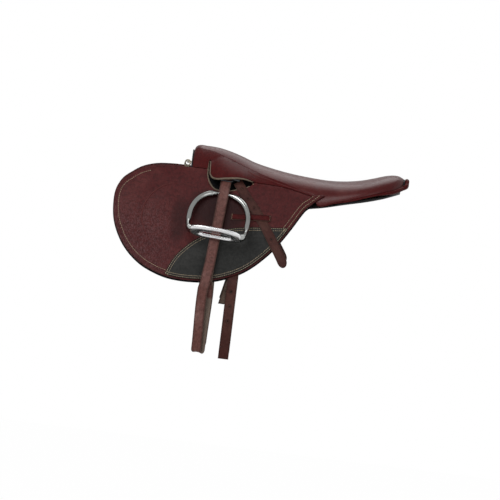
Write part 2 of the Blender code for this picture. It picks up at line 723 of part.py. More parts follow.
def hanging_strap(name, side, n, end_z, lean, holes, pivot):
    """Flat strap that hangs from the rivet, with its outer face at n."""
    line = hanging_line(GIRTH_BEND_T, end_z, n)
    runs = [0.0]
    for (t0, n0), (t1, n1) in zip(line, line[1:]):
        runs.append(runs[-1] + math.hypot(t1 - t0, n1 - n0))

    def hang(u, v, depth):
        i = min(int(np.searchsorted(runs, v, side="right")) - 1, len(line) - 2)
        share = (v - runs[i]) / (runs[i + 1] - runs[i])
        t = line[i][0] + (line[i + 1][0] - line[i][0]) * share
        m = line[i][1] + (line[i + 1][1] - line[i][1]) * share
        turn = FLARE * min(max((v - GIRTH_BEND_T) / (runs[-2] - GIRTH_BEND_T), 0), 1)
        m += depth * math.cos(turn)
        t += depth * math.sin(turn)
        across = u * math.cos(lean) - (t - RIVET_T) * math.sin(lean)
        down = RIVET_T + u * math.sin(lean) + (t - RIVET_T) * math.cos(lean)
        return on_slope(side, RIVET_X + across, down, m)

    half, top, snip = GIRTH_STRAP_WIDTH / 2, RIVET_T - GIRTH_TOP, GIRTH_CORNER
    outline = [(-half, runs[-1]), (half, runs[-1]), (half, top + snip), (half - snip, top),
               (snip - half, top), (-half, top + snip)]
    loops = [circle((0, RIVET_T), RIVET_DIA + 2 * RIVET_PLAY)]
    if holes:
        t, m = line[-2]
        first = runs[-2] + m * math.sin(FLARE) - t * math.cos(FLARE) - GIRTH_FIRST_HOLE_Z
        for k in range(GIRTH_HOLE_COUNT):
            loops.append(circle((0, first + k * GIRTH_HOLE_PITCH), GIRTH_HOLE, 10))
    body = slab(outline, hang, -GIRTH_STRAP_THICK, 0, runs[1:-1], loops)
    place(name, *body, STRAP_BROWN, pivot)


def build_girth(side, tag):
    pivot = on_slope(side, RIVET_X, RIVET_T, GIRTH_N)
    hanging_strap("girth_strap_" + tag, side, GIRTH_N, GIRTH_END_Z, 0.0, True, pivot)
    hanging_strap("short_strap_" + tag, side, SHORT_N, SHORT_END_Z, SHORT_LEAN, False, pivot)

    def flat(x, t, n):
        return on_slope(side, x, t, n)

    half = WEB_WIDTH / 2
    outline = [(RIVET_X - half, WEB_TOP_T), (RIVET_X + half, WEB_TOP_T),
               (RIVET_X + half, WEB_LOW_T), (RIVET_X - half, WEB_LOW_T)]
    hole = circle((RIVET_X, RIVET_T), RIVET_DIA + 2 * GAP)
    web = slab(outline, flat, WEB_N - WEB_THICK, WEB_N, (), [hole])
    place("girth_web_" + tag, *web, LINEN)

    head_n, tail_n = GIRTH_N + GAP, WEB_N - WEB_THICK - GAP
    profile = [(RIVET_HEAD, head_n + RIVET_HEAD_THICK), (RIVET_HEAD, head_n), (RIVET_DIA, head_n),
               (RIVET_DIA, tail_n), (RIVET_HEAD, tail_n), (RIVET_HEAD, tail_n - RIVET_HEAD_THICK)]
    rings = [[flat(x, t, n) for x, t in circle((RIVET_X, RIVET_T), dia)] for dia, n in profile]
    place("girth_rivet_" + tag, *loft(rings), BRASS)


def strap_frame(side):
    """Axes of the stirrup leather: along its bar, down the strap and out from the flap."""
    across = on_slope(side, 1, 0, 0) - on_slope(side, 0, 0, 0)
    down = on_slope(side, 0, 1, 0) - on_slope(side, 0, 0, 0)
    out = on_slope(side, 0, 0, 1) - on_slope(side, 0, 0, 0)
    bar = across * math.cos(STRAP_LEAN) + down * math.sin(STRAP_LEAN)
    run = down * math.cos(STRAP_LEAN) - across * math.sin(STRAP_LEAN)
    return on_slope(side, BAR_X, BAR_T, 0), bar, run, out


def build_bar(side, tag):
    center, bar, run, out = strap_frame(side)
    half, seat_n, bend = BAR_LENGTH / 2, BAR_SEAT_N, BAR_BEND
    route = [(-half, seat_n), (-half, BAR_N - bend), (-half + bend * 0.3, BAR_N - bend * 0.3),
             (-half + bend, BAR_N), (half - bend, BAR_N), (half - bend * 0.3, BAR_N - bend * 0.3),
             (half, BAR_N - bend), (half, seat_n)]
    path = [center + bar * u + out * n for u, n in route]
    plate_size = (BAR_PLATE_LENGTH, BAR_PLATE_WIDTH, BAR_PLATE)
    plate = box(center + out * (seat_n + BAR_PLATE / 4), (bar, run, out), plate_size)
    hoop = place("stirrup_bar_" + tag, *rod(path, BAR_DIA, 10), STEEL)
    cut(hoop, place("plate", *plate, STEEL), "UNION")


def strand_offsets(t):
    """Distance out of the leather's mid line at t, and from there to each strand."""
    wrap = BAR_DIA / 2 + 0.25 + STIRRUP_STRAP_THICK / 2
    share = ease(t / 30)
    return BAR_N + (STRAP_MID_N - BAR_N) * share, wrap + (STRAP_HALF_GAP - wrap) * share


def leather_points():
    """Both strands of the stirrup leather: down, out, half gap, share of the twist and lean."""
    wrap = strand_offsets(0)[1]
    end_run = hanging_line(STRAP_BEND_T, LOOP_END_Z + LOOP_HALF_GAP + 2, STRAP_MID_N)
    front, rear = [], []
    for t in (2, 6, 10, 14, 18, 22, 26, 30, 60, 120, 180, 200, 220):
        mid, gap = strand_offsets(t)
        front.append((t, mid, gap, 0.0, 0.0))
        rear.append((t, mid, -gap, 0.0, 0.0))
    (t0, n0), (t1, n1) = end_run[-2], end_run[-1]
    tail = list(end_run[1:-1]) + [(t0 + (t1 - t0) * s, n0 + (n1 - n0) * s) for s in (0.25, 0.5, 0.75, 1)]
    total = len(tail) - 1
    for k, (t, n) in enumerate(tail):
        share = ease(k / total)
        gap = STRAP_HALF_GAP + (LOOP_HALF_GAP - STRAP_HALF_GAP) * share
        lean = FLARE * min(k / 5, 1)
        front.append((t, n, gap, share, lean))
        rear.append((t, n, -gap, share, lean))
    return wrap, front, rear


def build_leather(side, tag):
    center, bar, run, out = strap_frame(side)
    wrap, front, rear = leather_points()
    pivot = center + out * BAR_N
    loop = []
    for k in range(7):
        a = math.pi * k / 6
        loop.append((center + run * (-wrap * math.sin(a)) + out * (BAR_N - wrap * math.cos(a)), bar))

    def strand(t, n, gap, share, lean):
        face = out * math.cos(lean) + run * math.sin(lean)
        twist, turn = LOOP_TWIST * share, LOOP_TURN * share
        plumb = bar * math.tan(STRAP_LEAN) * max(t - STRAP_BEND_T, 0)
        apart = (face * math.cos(twist) - bar * math.sin(twist)) * gap
        return center + run * t + plumb + out * n + apart, bar * math.cos(turn) + face * math.sin(turn)

    loop += [strand(*p) for p in front]
    t, n, gap, share, lean = front[-1]
    fall = run * math.cos(lean) - out * math.sin(lean)
    middle, across = strand(t, n, 0, share, lean)
    reach = strand(t, n, gap, share, lean)[0] - middle
    for k in range(1, 6):
        a = math.pi * k / 6
        loop.append((middle + reach * math.cos(a) + fall * gap * math.sin(a), across))
    loop += [strand(*p) for p in reversed(rear)]

    rings = []
    count = len(loop)
    for i, (p, across) in enumerate(loop):
        step = loop[(i + 1) % count][0] - loop[i - 1][0]
        step /= np.linalg.norm(step)
        across = across - step * across.dot(step)
        across /= np.linalg.norm(across)
        face = np.cross(step, across) * STIRRUP_STRAP_THICK / 2
        edge = across * STIRRUP_STRAP_WIDTH / 2
        rings.append([p - edge - face, p + edge - face, p + edge + face, p - edge + face])
    place("stirrup_leather_" + tag, *loft(rings, True), STRAP_BROWN, pivot)

    half = STIRRUP_STRAP_WIDTH / 2 + BUCKLE_WIRE
    corners = [(-half, BUCKLE_T), (half, BUCKLE_T), (half, BUCKLE_T + BUCKLE_LENGTH),
               (-half, BUCKLE_T + BUCKLE_LENGTH)]
    wire = []
    for (u0, t0), (u1, t1) in zip(corners, corners[1:] + corners[:1]):
        for s in (0.08, 0.92):
            u, t = u0 + (u1 - u0) * s, t0 + (t1 - t0) * s
            n = sum(strand_offsets(t)) + (STIRRUP_STRAP_THICK + BUCKLE_WIRE) / 2 + 2 * GAP
            wire.append(center + bar * u + run * t + out * n)
    place("buckle_frame_" + tag, *rod(wire, BUCKLE_WIRE, 6, True), STEEL, pivot)


def iron_frame(side):
    """Crown center of the iron, with its across, down and depth axes."""
    center, bar, run, out = strap_frame(side)
    down = run * math.cos(IRON_TILT) + out * math.sin(IRON_TILT)
    depth = out * math.cos(IRON_TILT) - run * math.sin(IRON_TILT)
    crown_n = STRAP_MID_N - STRAP_HALF_GAP
    return center + run * IRON_T + out * crown_n, bar, down, depth


def build_iron(side, tag):
    """Polished steel iron: a bow with a slotted crown and an open oval tread."""
    crown, bar, down, depth = iron_frame(side)
    half = IRON_INSIDE / 2 + IRON_ROD / 2
    flat_half = CROWN_SLOT_LENGTH / 2 + CROWN_BAR
    crown_half = CROWN_SLOT / 2 + CROWN_BAR
    right = [(flat_half * s, 0.0) for s in (0.0, 0.5, 1.0)]
    bow_height, foot_from = IRON_BOW_SHARE * IRON_HEIGHT, IRON_FOOT_SHARE * IRON_HEIGHT
    bow = [(flat_half + (half - flat_half) * math.sin(a), bow_height * (1 - math.cos(a)))
           for a in np.linspace(0, math.pi / 2, 9)[1:]]
    leg = [(half, bow_height + (IRON_HEIGHT - bow_height) * s) for s in (0.45, 0.8)]
    foot = [(half - 3, IRON_HEIGHT - 3), (half - 9, IRON_HEIGHT)]
    side_line = right + bow + leg + foot
    line = [(-u, w) for u, w in reversed(side_line[1:])] + side_line
    rings = []
    for i, (u, w) in enumerate(line):
        u0, w0 = line[max(i - 1, 0)]
        u1, w1 = line[min(i + 1, len(line) - 1)]
        long = math.hypot(u1 - u0, w1 - w0)
        inward = (bar * -(w1 - w0) + down * (u1 - u0)) / long
        share = ease((abs(u) - flat_half) / 8)
        low = ease((w - foot_from) / (IRON_HEIGHT - foot_from))
        wide = crown_half + (IRON_ROD / 2 - crown_half) * share
        wide += (IRON_FOOT / 2 - IRON_ROD / 2) * low
        thick = CROWN_THICK / 2 + (IRON_ROD / 2 - CROWN_THICK / 2) * share
        thick += (TREAD_THICK / 2 - IRON_ROD / 2) * low
        p = crown + bar * u + down * w
        turns = [math.pi / 4 * k + math.pi / 8 for k in range(8)]
        rings.append([p + inward * thick * math.cos(a) / math.cos(math.pi / 8)
                      + depth * wide * math.sin(a) / math.cos(math.pi / 8) for a in turns])
    iron = place("stirrup_iron_" + tag, *loft(rings), STEEL, crown)

    def on_tread(u, v, n):
        return crown + bar * u + depth * v + down * (IRON_HEIGHT + n)

    tread_half = half - 4
    outline = []
    for k in range(28):
        a = 2 * math.pi * k / 28
        outline.append((tread_half * math.copysign(abs(math.cos(a)) ** 0.55, math.cos(a)),
                        TREAD_DEPTH / 2 * math.copysign(abs(math.sin(a)) ** 0.8, math.sin(a))))
    slot = []
    straight = TREAD_SLOT_LENGTH / 2 - TREAD_SLOT_DEPTH / 2
    for k in range(16):
        a = 2 * math.pi * (k + 0.5) / 16
        slot.append((math.copysign(straight, math.cos(a)) + TREAD_SLOT_DEPTH / 2 * math.cos(a),
                     TREAD_SLOT_SHIFT + TREAD_SLOT_DEPTH / 2 * math.sin(a)))
    tread = slab(outline, on_tread, -TREAD_THICK / 2, TREAD_THICK / 2, (), [slot])
    cut(iron, place("tread", *tread, STEEL, crown), "UNION")
    slot_box = box(crown, (bar, down, depth), (CROWN_SLOT_LENGTH, 20, CROWN_SLOT))
    cut(iron, place("slot", *slot_box, STEEL, crown), "DIFFERENCE")


def build_dee(side, tag):
    """Staple driven into the head through the facing, and the dee that hangs in it."""
    y = side * DEE_Y
    back = POMMEL_X - FACING_LEATHER - 2 * GAP
    wire = [(back, y - STAPLE_HALF, DEE_Z), (DEE_X + 2, y - STAPLE_HALF, DEE_Z),
            (DEE_X, y - STAPLE_HALF + 2, DEE_Z), (DEE_X, y + STAPLE_HALF - 2, DEE_Z),
            (DEE_X + 2, y + STAPLE_HALF, DEE_Z), (back, y + STAPLE_HALF, DEE_Z)]
    place("dee_staple_" + tag, *rod(wire, STAPLE_WIRE, 8), BRASS)
    drop = DEE_RADIUS - DEE_WIRE - STAPLE_WIRE / 2 - GAP
    ring = []
    for k in range(16):
        a = 2 * math.pi * k / 16
        reach = DEE_RADIUS - DEE_WIRE / 2
        ring.append((DEE_X + reach * math.sin(a), y, DEE_Z - drop + reach * math.cos(a)))
    place("front_dee_" + tag, *rod(ring, DEE_WIRE, 8, True), BRASS, (DEE_X, y, DEE_Z))


def build():
    for obj in list(bpy.data.objects):
        bpy.data.objects.remove(obj)
    under_web = build_seat()
    build_tree(under_web)
    build_facing()
    build_cantle_roll()
    for side, tag in SIDES:
        build_panel(side, tag)
        build_skirt(side, tag)
        build_flap(side, tag)
        build_tail(side, tag)
        build_girth(side, tag)
        build_bar(side, tag)
        build_leather(side, tag)
        build_iron(side, tag)
        build_dee(side, tag)


build()
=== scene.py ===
"""Looks of an english saddle of the racing and exercise kind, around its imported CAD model.

Sizes are in millimetres unless a name says otherwise, and meshes are made in metres.
"""
import math

import bpy
import numpy as np
from mathutils import Matrix, Vector
from mathutils.geometry import delaunay_2d_cdt
from mathutils.kdtree import KDTree


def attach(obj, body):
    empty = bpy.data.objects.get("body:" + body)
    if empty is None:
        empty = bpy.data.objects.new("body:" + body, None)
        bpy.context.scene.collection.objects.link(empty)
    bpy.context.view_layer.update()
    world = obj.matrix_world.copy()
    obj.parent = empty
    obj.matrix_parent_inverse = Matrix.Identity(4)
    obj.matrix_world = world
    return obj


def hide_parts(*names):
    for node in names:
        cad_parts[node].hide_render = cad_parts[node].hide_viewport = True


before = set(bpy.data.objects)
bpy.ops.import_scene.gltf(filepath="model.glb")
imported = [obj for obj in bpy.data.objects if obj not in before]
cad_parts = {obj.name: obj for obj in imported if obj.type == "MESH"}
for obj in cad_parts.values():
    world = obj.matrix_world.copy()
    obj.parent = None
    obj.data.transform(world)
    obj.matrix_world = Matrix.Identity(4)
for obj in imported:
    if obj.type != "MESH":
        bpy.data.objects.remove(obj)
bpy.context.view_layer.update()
bpy.ops.object.select_all(action="DESELECT")
MM = 0.001

# The studio: a pale floor under a white surround, and large soft lamps. The saddle hangs clear
# of the floor, as on a rack, and is seen level from its near side.


class Tone:
    """A shader socket that takes part in plain expressions, and makes other nodes of its tree."""

    def __init__(self, tree, socket=None):
        self.tree = tree
        self.socket = socket

    def node(self, kind, settings, inputs, output=0):
        made = self.tree.nodes.new("ShaderNode" + kind)
        for key, value in settings.items():
            setattr(made, key, value)
        for key, value in inputs.items():
            if isinstance(value, Tone):
                self.tree.links.new(value.socket, made.inputs[key])
            else:
                made.inputs[key].default_value = value
        return Tone(self.tree, made.outputs[output])

    def maths(self, operation, *values):
        return self.node("Math", {"operation": operation}, dict(enumerate(values)))

    def __add__(self, other):
        return self.maths("ADD", self, other)

    def __sub__(self, other):
        return self.maths("SUBTRACT", self, other)

    def __rsub__(self, other):
        return self.maths("SUBTRACT", other, self)

    def __mul__(self, other):
        return self.maths("MULTIPLY", self, other)

    def __truediv__(self, other):
        return self.maths("DIVIDE", self, other)

    __radd__ = __add__
    __rmul__ = __mul__

    def between(self, low, high):
        """0 below low, 1 above high, and smooth from one to the other."""
        return self.node("MapRange", {"interpolation_type": "SMOOTHSTEP"}, {0: self, 1: low, 2: high})

    def mix(self, first, second):
        """Colour from first to second as this value goes from 0 to 1."""
        return self.node("Mix", {"data_type": "RGBA"}, {0: self, 6: first, 7: second}, output=2)

    def noise(self, scale, detail, **more):
        """Noise read at this place."""
        return self.node("TexNoise", {}, {"Vector": self, "Scale": scale, "Detail": detail, **more})

    def stretched(self, scale, turn=(0, 0, 0)):
        """This place, turned and scaled along each axis."""
        return self.node("Mapping", {}, {"Vector": self, "Rotation": turn, "Scale": scale})

    def feed(self, socket):
        self.tree.links.new(self.socket, socket)

    def emboss(self, shader, strength, distance):
        """Relief on the shader's surface, with this value as its height."""
        bump = self.node("Bump", {}, {"Strength": strength, "Distance": distance, "Height": self})
        bump.feed(shader.inputs["Normal"])


FLOOR_Z = -0.9
FLOOR_SIZE = 12.0
PAPER = (0.82, 0.82, 0.82, 1)
PAPER_GLOW = 0.99
WHITE = (1, 1, 1, 1)
SKY_LIGHT = 0.40
SKY_IN_GLOSS = 0.3
RAYS = ("Is Camera Ray", "Is Glossy Ray")
bpy.ops.mesh.primitive_plane_add(size=FLOOR_SIZE, location=(0, 0, FLOOR_Z))
floor = bpy.context.object
floor.name = "floor"
bpy.ops.object.transform_apply()
pale = bpy.data.materials.new("studio_paper")
pale.use_nodes = True
paper = Tone(pale.node_tree)
matt = pale.node_tree.nodes["Principled BSDF"]
matt.inputs["Base Color"].default_value = PAPER
matt.inputs["Roughness"].default_value = 0.9
rays = [paper.node("LightPath", {}, {}, output=n) for n in RAYS]
glow = paper.node("Emission", {}, {"Color": WHITE, "Strength": 1.0})
lit = Tone(pale.node_tree, matt.outputs[0])
seen = paper.node("MixShader", {}, {0: paper.maths("MAXIMUM", *rays) * PAPER_GLOW, 1: lit, 2: glow})
seen.feed(pale.node_tree.nodes["Material Output"].inputs["Surface"])
floor.data.materials.append(pale)

world = bpy.data.worlds.new("studio")
bpy.context.scene.world = world
world.use_nodes = True
world.node_tree.nodes.clear()
sky = Tone(world.node_tree)
rays = [sky.node("LightPath", {}, {}, output=n) for n in RAYS]
dim, white = [sky.node("Background", {}, {"Color": WHITE, "Strength": level}) for level in (SKY_LIGHT, 1.0)]
share = sky.maths("MAXIMUM", rays[0], rays[1] * SKY_IN_GLOSS)
seen = sky.node("MixShader", {}, {0: share, 1: dim, 2: white})
out = world.node_tree.nodes.new("ShaderNodeOutputWorld")
seen.feed(out.inputs["Surface"])

LAMP_AIM = Vector((0, 0, -0.1))
LAMPS = [("key", (-1.0, -2.2, 1.7), 1.6, 46), ("top", (0.4, 1.4, 2.0), 1.8, 24),
         ("fill", (1.6, -2.6, 0.5), 1.8, 14)]
for name, spot, size, watts in LAMPS:
    lamp = bpy.data.lights.new(name, "AREA")
    lamp.size = size
    lamp.energy = watts
    holder = bpy.data.objects.new(name, lamp)
    holder.location = spot
    holder.rotation_euler = (LAMP_AIM - Vector(spot)).to_track_quat("-Z", "Y").to_euler()
    bpy.context.scene.collection.objects.link(holder)

LOOK_AT = Vector((-0.0055, -0.12, -0.1434))
DISTANCE = 20.0
VIEW_WIDTH = 1.05
SENSOR = 36.0
ELEVATION = math.radians(2.0)
ROLL = math.radians(7.0)
camera = bpy.data.cameras.new("camera")
camera.sensor_fit = "HORIZONTAL"
camera.sensor_width = SENSOR
camera.lens = SENSOR * DISTANCE / VIEW_WIDTH
camera.clip_end = 50.0
eye = bpy.data.objects.new("camera", camera)
ahead = Vector((0, math.cos(ELEVATION), -math.sin(ELEVATION)))
plumb = Vector((0, math.sin(ELEVATION), math.cos(ELEVATION)))
level = Vector((1, 0, 0))
right = level * math.cos(ROLL) + plumb * math.sin(ROLL)
upward = plumb * math.cos(ROLL) - level * math.sin(ROLL)
turned = Matrix((right, upward, -ahead)).transposed().to_4x4()
eye.matrix_world = Matrix.Translation(LOOK_AT - ahead * DISTANCE) @ turned
bpy.context.scene.collection.objects.link(eye)
bpy.context.scene.camera = eye
bpy.context.scene.view_settings.view_transform = "Standard"

# Seat: one piece of thin oxblood cowhide, blocked wet over foam and webbing and drawn down at
# its edges. Its lower edge is sewn to the skirts, and turned under a bead round the cantle.
POMMEL_X = -147.0
SEAT_END_X = 298.0
SKIRT_END_X = 112.0
SEAT_LEATHER = 2.0
REAR_FROM_X = -60.0
REAR_RUN = 220.0
SEAM_STEP_FROM = 0.2
SEAM_STEP_RUN = 0.6
FLARE = math.radians(21.8)
SIDE_HALF = 78.6
EASE_FROM_Z = -40.0
EASE = 0.0022
CROWN = [(-147, 50), (-144.5, 55.5), (-137, 60), (-122, 60.2), (-96, 59), (-70, 54), (-44, 46.5),
         (-18, 37.5), (8, 31.5), (60, 23.2), (110, 19), (137, 18), (162, 19), (187, 22), (212, 27),
         (237, 34.5), (261, 42.5), (277, 45.5), (288, 45), (298, 41)]
BASE_Z = [(-147, -8), (-110, -15), (-16, -16), (60, -19), (112, -22.5), (124, -32.5), (160, -23),
          (190, -14), (220, -3), (251, 7.5), (281, 18), (298, 27)]
REAR_HALF = [(112, 86.5), (126, 90.5), (150, 95), (180, 98), (220, 96), (250, 87), (275, 70),
             (288, 52), (295, 38), (298, 30)]
SEAM_Z = [(-147, 47.5), (-144, 52.5), (-126, 53), (-104, 50), (-82, 43), (-48, 31), (-15, 20),
          (18, 10.5), (50, 3), (79, -5), (112, -13.5)]
OXBLOOD = (0.064, 0.0098, 0.0102, 1)
DEEP_RED = (0.063, 0.006, 0.006, 1)
OXBLOOD_WORN = (0.105, 0.027, 0.025, 1)
OXBLOOD_DARK = (0.016, 0.0035, 0.0036, 1)
EDGE_BARE = (0.16, 0.115, 0.085, 1)
SIDES = ((-1, "left"), (1, "right"))


def along(points, x):
    """Height of a smooth curve through points, read at x."""
    xs = np.array([p[0] for p in points], float)
    ys = np.array([p[1] for p in points], float)
    steps = np.diff(ys) / np.diff(xs)
    slopes = np.concatenate([steps[:1], (steps[:-1] + steps[1:]) / 2, steps[-1:]])
    x = min(max(x, xs[0]), xs[-1])
    i = min(int(np.searchsorted(xs, x, side="right")) - 1, len(xs) - 2)
    span = xs[i + 1] - xs[i]
    u = (x - xs[i]) / span
    rise = slopes[i] * span * u * (1 - u) ** 2 - slopes[i + 1] * span * u * u * (1 - u)
    return float(ys[i] + (ys[i + 1] - ys[i]) * (3 - 2 * u) * u * u + rise)


def ease(u):
    """0 below 0, 1 above 1, and smooth from one to the other, for a number or an array."""
    u = np.clip(u, 0.0, 1.0)
    return u * u * (3 - 2 * u)


def unit(rows):
    """A direction, or each of several, made one long."""
    return rows / np.linalg.norm(rows, axis=-1, keepdims=True)


def full_turn(count):
    """Even angles once round."""
    return np.linspace(0, 2 * math.pi, count, endpoint=False)


def side_y(z):
    """Half width of the flap's outer face at height z."""
    return SIDE_HALF - math.tan(FLARE) * z - EASE * max(z - EASE_FROM_Z, 0) ** 2


def base_half(x):
    return side_y(along(BASE_Z, x)) if x < REAR_HALF[0][0] else along(REAR_HALF, x)


def rear_share(x):
    """How far the seat has changed from its peaked front to its flat rear."""
    return ease((x - REAR_FROM_X) / REAR_RUN)


def seat_point(x, angle, depth=0.0, side=1):
    """Point of the seat's cross-section: angle 0 at the crown, a right angle at its lower edge."""
    rear = rear_share(x)
    wide, tall = 2 + 0.6 * rear, 1 + rear
    base, half = along(BASE_Z, x), base_half(x)
    height = along(CROWN, x) - base

    def raw(a):
        return np.array([half * math.sin(a) ** (2 / wide), base + height * math.cos(a) ** (2 / tall)])

    lean = np.array([0.0, 1.0])
    if angle > 0.02:
        step = raw(min(angle + 0.01, math.pi / 2 - 1e-6)) - raw(angle - 0.01)
        lean = unit(np.array([-step[1], step[0]]))
    y, z = raw(angle) - depth * lean
    return np.array([x, side * y, z])


def arc(x, angles, depth):
    """Points across the seat, from the left to the right, at one depth under its surface."""
    return [seat_point(x, abs(a), depth, 1 if a >= 0 else -1) for a in angles]


def angle_at(x, z):
    """Angle at which the seat's cross-section has height z."""
    base = along(BASE_Z, x)
    share = (z - base) / (along(CROWN, x) - base)
    return math.acos(min(max(share, 0.0), 1.0) ** ((1 + rear_share(x)) / 2))


def seat_edge(x):
    """Angle of the seat cover's lower edge."""
    if x <= SKIRT_END_X:
        return angle_at(x, along(SEAM_Z, x))
    drop = ease((x - SKIRT_END_X - SEAM_STEP_FROM) / SEAM_STEP_RUN)
    return angle_at(x, along(SEAM_Z, SKIRT_END_X) * (1 - drop) + along(BASE_Z, x) * drop)


def loft(rings, closed=False):
    """Points and faces of a body from rings of equal length, capped unless it closes on itself."""
    count = len(rings[0])
    verts = [p for ring in rings for p in ring]
    faces = []
    for i in range(len(rings) if closed else len(rings) - 1):
        j = (i + 1) % len(rings)
        for k in range(count):
            m = (k + 1) % count
            faces.append([i * count + k, i * count + m, j * count + m, j * count + k])
    if not closed:
        faces.append(list(range(count)))
        faces.append([(len(rings) - 1) * count + k for k in range(count)])
    return verts, faces


def close_up():
    """Joins the active object's points where they meet, and turns its faces outward."""
    bpy.ops.object.mode_set(mode="EDIT")
    bpy.ops.mesh.select_all(action="SELECT")
    bpy.ops.mesh.remove_doubles(threshold=0.00001)
    bpy.ops.mesh.normals_make_consistent(inside=False)
    bpy.ops.object.mode_set(mode="OBJECT")


def piece(name, finish, verts, faces, rim=(), rounding=0.0):
    """One smooth object at the origin. rim holds points along its cut edges, for edge wear."""
    mesh = bpy.data.meshes.new(name)
    mesh.from_pydata([tuple(np.asarray(v) * MM) for v in verts], [], faces)
    obj = bpy.data.objects.new(name, mesh)
    bpy.context.scene.collection.objects.link(obj)
    bpy.ops.object.select_all(action="DESELECT")
    bpy.context.view_layer.objects.active = obj
    obj.select_set(True)
    close_up()
    if rounding:
        bevel = obj.modifiers.new("rounding", "BEVEL")
        bevel.width = rounding * MM
        bevel.segments = 3
        bevel.angle_limit = math.radians(40)
        bpy.ops.object.modifier_apply(modifier="rounding")
    bpy.ops.object.shade_smooth_by_angle(angle=math.radians(50))
    near = KDTree(max(len(rim), 1))
    for k, p in enumerate(rim):
        near.insert(tuple(np.asarray(p) * MM), k)
    near.balance()
    edge = obj.data.attributes.new("edge", "FLOAT", "POINT")
    far = [near.find(v.co)[2] if len(rim) else 1.0 for v in obj.data.vertices]
    edge.data.foreach_set("value", np.array(far, np.float32))
    obj.data.materials.append(finish)
    return obj


def new_finish(name):
    """A new material, its shader, and the place in the object that its pattern is read at."""
    mat = bpy.data.materials.new(name)
    mat.use_nodes = True
    place = Tone(mat.node_tree).node("TexCoord", {}, {}, output="Object")
    return mat, mat.node_tree.nodes["Principled BSDF"], place


def leather(name, colour, worn, dark, bare, shine=0.5, grain=1.0, cell=1.3, crease=None,
            stains_and_shadows=(), gleam=0.10, rim_width=0.0042, rim_dark=0.75, pucker_sheen=None, flesh=None):
    """Pebbled leather with cloudy dye, rubbed high spots, painted shade in its grain's hollows, a burnished
    rim and a bare cut edge.

    A crease is a tooled line at that distance from the rim. Each stain is a dark oval, part grease and part
    painted shadow, given by its middle and half sizes in X and Z, and its depth. A pucker is painted sheen: a
    lighter grey on the crests of fine folds at the low front, whose valleys get painted shade. The flesh is
    the two colours of a rough inner side. Lengths here are in metres.
    """
    mat, shader, place = new_finish(name)
    edge = place.node("Attribute", {"attribute_name": "edge"}, {}, output="Fac")
    cloud = place.noise(14.0, 4.0, Roughness=0.6)
    mottle = place.noise(160.0, 3.0)
    pebble = place.node("TexVoronoi", {"feature": "SMOOTH_F1"},
                        {"Vector": place, "Scale": 1000.0 / cell, "Smoothness": 0.6, "Randomness": 1.0})
    pore = place.noise(1800.0, 2.0)
    scuff = place.stretched((40, 40, 420), (0.2, 0.1, 0.5)).noise(1.0, 6.0, Roughness=0.7)
    scuff = scuff.between(0.60, 0.74)
    rub = cloud.between(0.42, 0.70) * 0.55 + mottle.between(0.5, 0.75) * 0.25 + scuff * 0.2
    wrinkle = place.noise(150.0, 6.0, Roughness=0.62, Distortion=0.6)
    rim = 1 - edge.between(rim_width * 0.3, rim_width)
    cut = 1 - edge.between(0.0005, 0.0011)
    skin = rub.mix(colour, worn)
    # Painted shade: darker in the grain's dimples and along the wrinkle valleys.
    low = (1 - pebble.between(0.05, 0.5)) * 0.25 + wrinkle.between(0.42, 0.66) * 0.32 * grain
    skin = low.mix(skin, dark)
    skin = (rim * rim_dark).mix(skin, dark)
    height = pebble * 0.75 + pore * 0.3 + scuff * -0.1 - wrinkle * 1.6
    if crease:
        line = edge.between(crease - 0.0005, crease) * (1 - edge.between(crease, crease + 0.0005))
        skin = (line * 0.7).mix(skin, dark)
        height = height - line * 1.2
    spot = [place.node("SeparateXYZ", {}, {0: place}, output=axis) for axis in ("X", "Z")]
    # Painted sheen and shade: fold crests at the low front turn a lighter grey, and fold valleys turn darker.
    if pucker_sheen:
        fold = place.stretched((640, 640, 210), (0, 0.25, 0)).noise(1.0, 3.0, Distortion=0.5)
        front = (1 - spot[0].between(-0.22, -0.13)) * (1 - spot[1].between(-0.12, -0.03))
        skin = (fold.between(0.44, 0.68) * front * 0.42).mix(skin, pucker_sheen)
        skin = ((1 - fold.between(0.32, 0.50)) * front * 0.5).mix(skin, dark)
        height = height + fold * front * 2.4
    # Dark ovals, part grease and part painted shadow, mixed into the skin.
    for middle, half, depth in stains_and_shadows:
        spread = [(c - m) / h for c, m, h in zip(spot, middle, half)]
        grease_and_shade = spread[0] * spread[0] + spread[1] * spread[1] + (cloud - 0.5) * 0.8
        skin = ((1 - grease_and_shade.between(0.1, 1.3)) * depth).mix(skin, dark)
    if flesh:
        inner = place.node("Attribute", {"attribute_name": "inner"}, {}, output="Fac")
        skin = inner.mix(skin, (rub * 0.6 + mottle * 0.4).mix(*flesh))
    skin = (cut * (0.55 + 0.4 * mottle)).mix(skin, bare)
    skin.feed(shader.inputs["Base Color"])
    gloss = shine + 0.16 * (mottle - 0.5) + 0.10 * rub + 0.10 * rim - 0.06 * pebble
    gloss.feed(shader.inputs["Roughness"])
    shader.inputs["Specular IOR Level"].default_value = gleam
    height.emboss(shader, min(0.4 * grain, 1.0), 0.0006)
    return mat


oxblood = leather("oxblood_leather", DEEP_RED, OXBLOOD, OXBLOOD_DARK, EDGE_BARE, gleam=0.06)
seat_hide = leather("seat_leather", DEEP_RED, OXBLOOD_WORN, OXBLOOD_DARK, OXBLOOD_DARK, 0.34, 0.5, 1.1,
                    gleam=0.18)

stations = np.concatenate([[-147, -146.2, -145], np.linspace(-143.5, 290, 130), [292, 294, 296, 297.3, 298],
                           [SKIRT_END_X + d for d in (-0.3, 0.2, 0.4, 0.6, 0.8, 1.4)]])
stations = np.sort(stations)
across = np.linspace(-1, 1, 61)
rings = []
for x in stations:
    turns = across * seat_edge(x)
    rings.append(arc(x, turns, 0) + arc(x, turns[::-1], SEAT_LEATHER))
seat = piece("seat", seat_hide, *loft(rings), rounding=0.7)
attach(seat, "saddle")
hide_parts("seat_cover", "seat_foam", "seat_webbing")

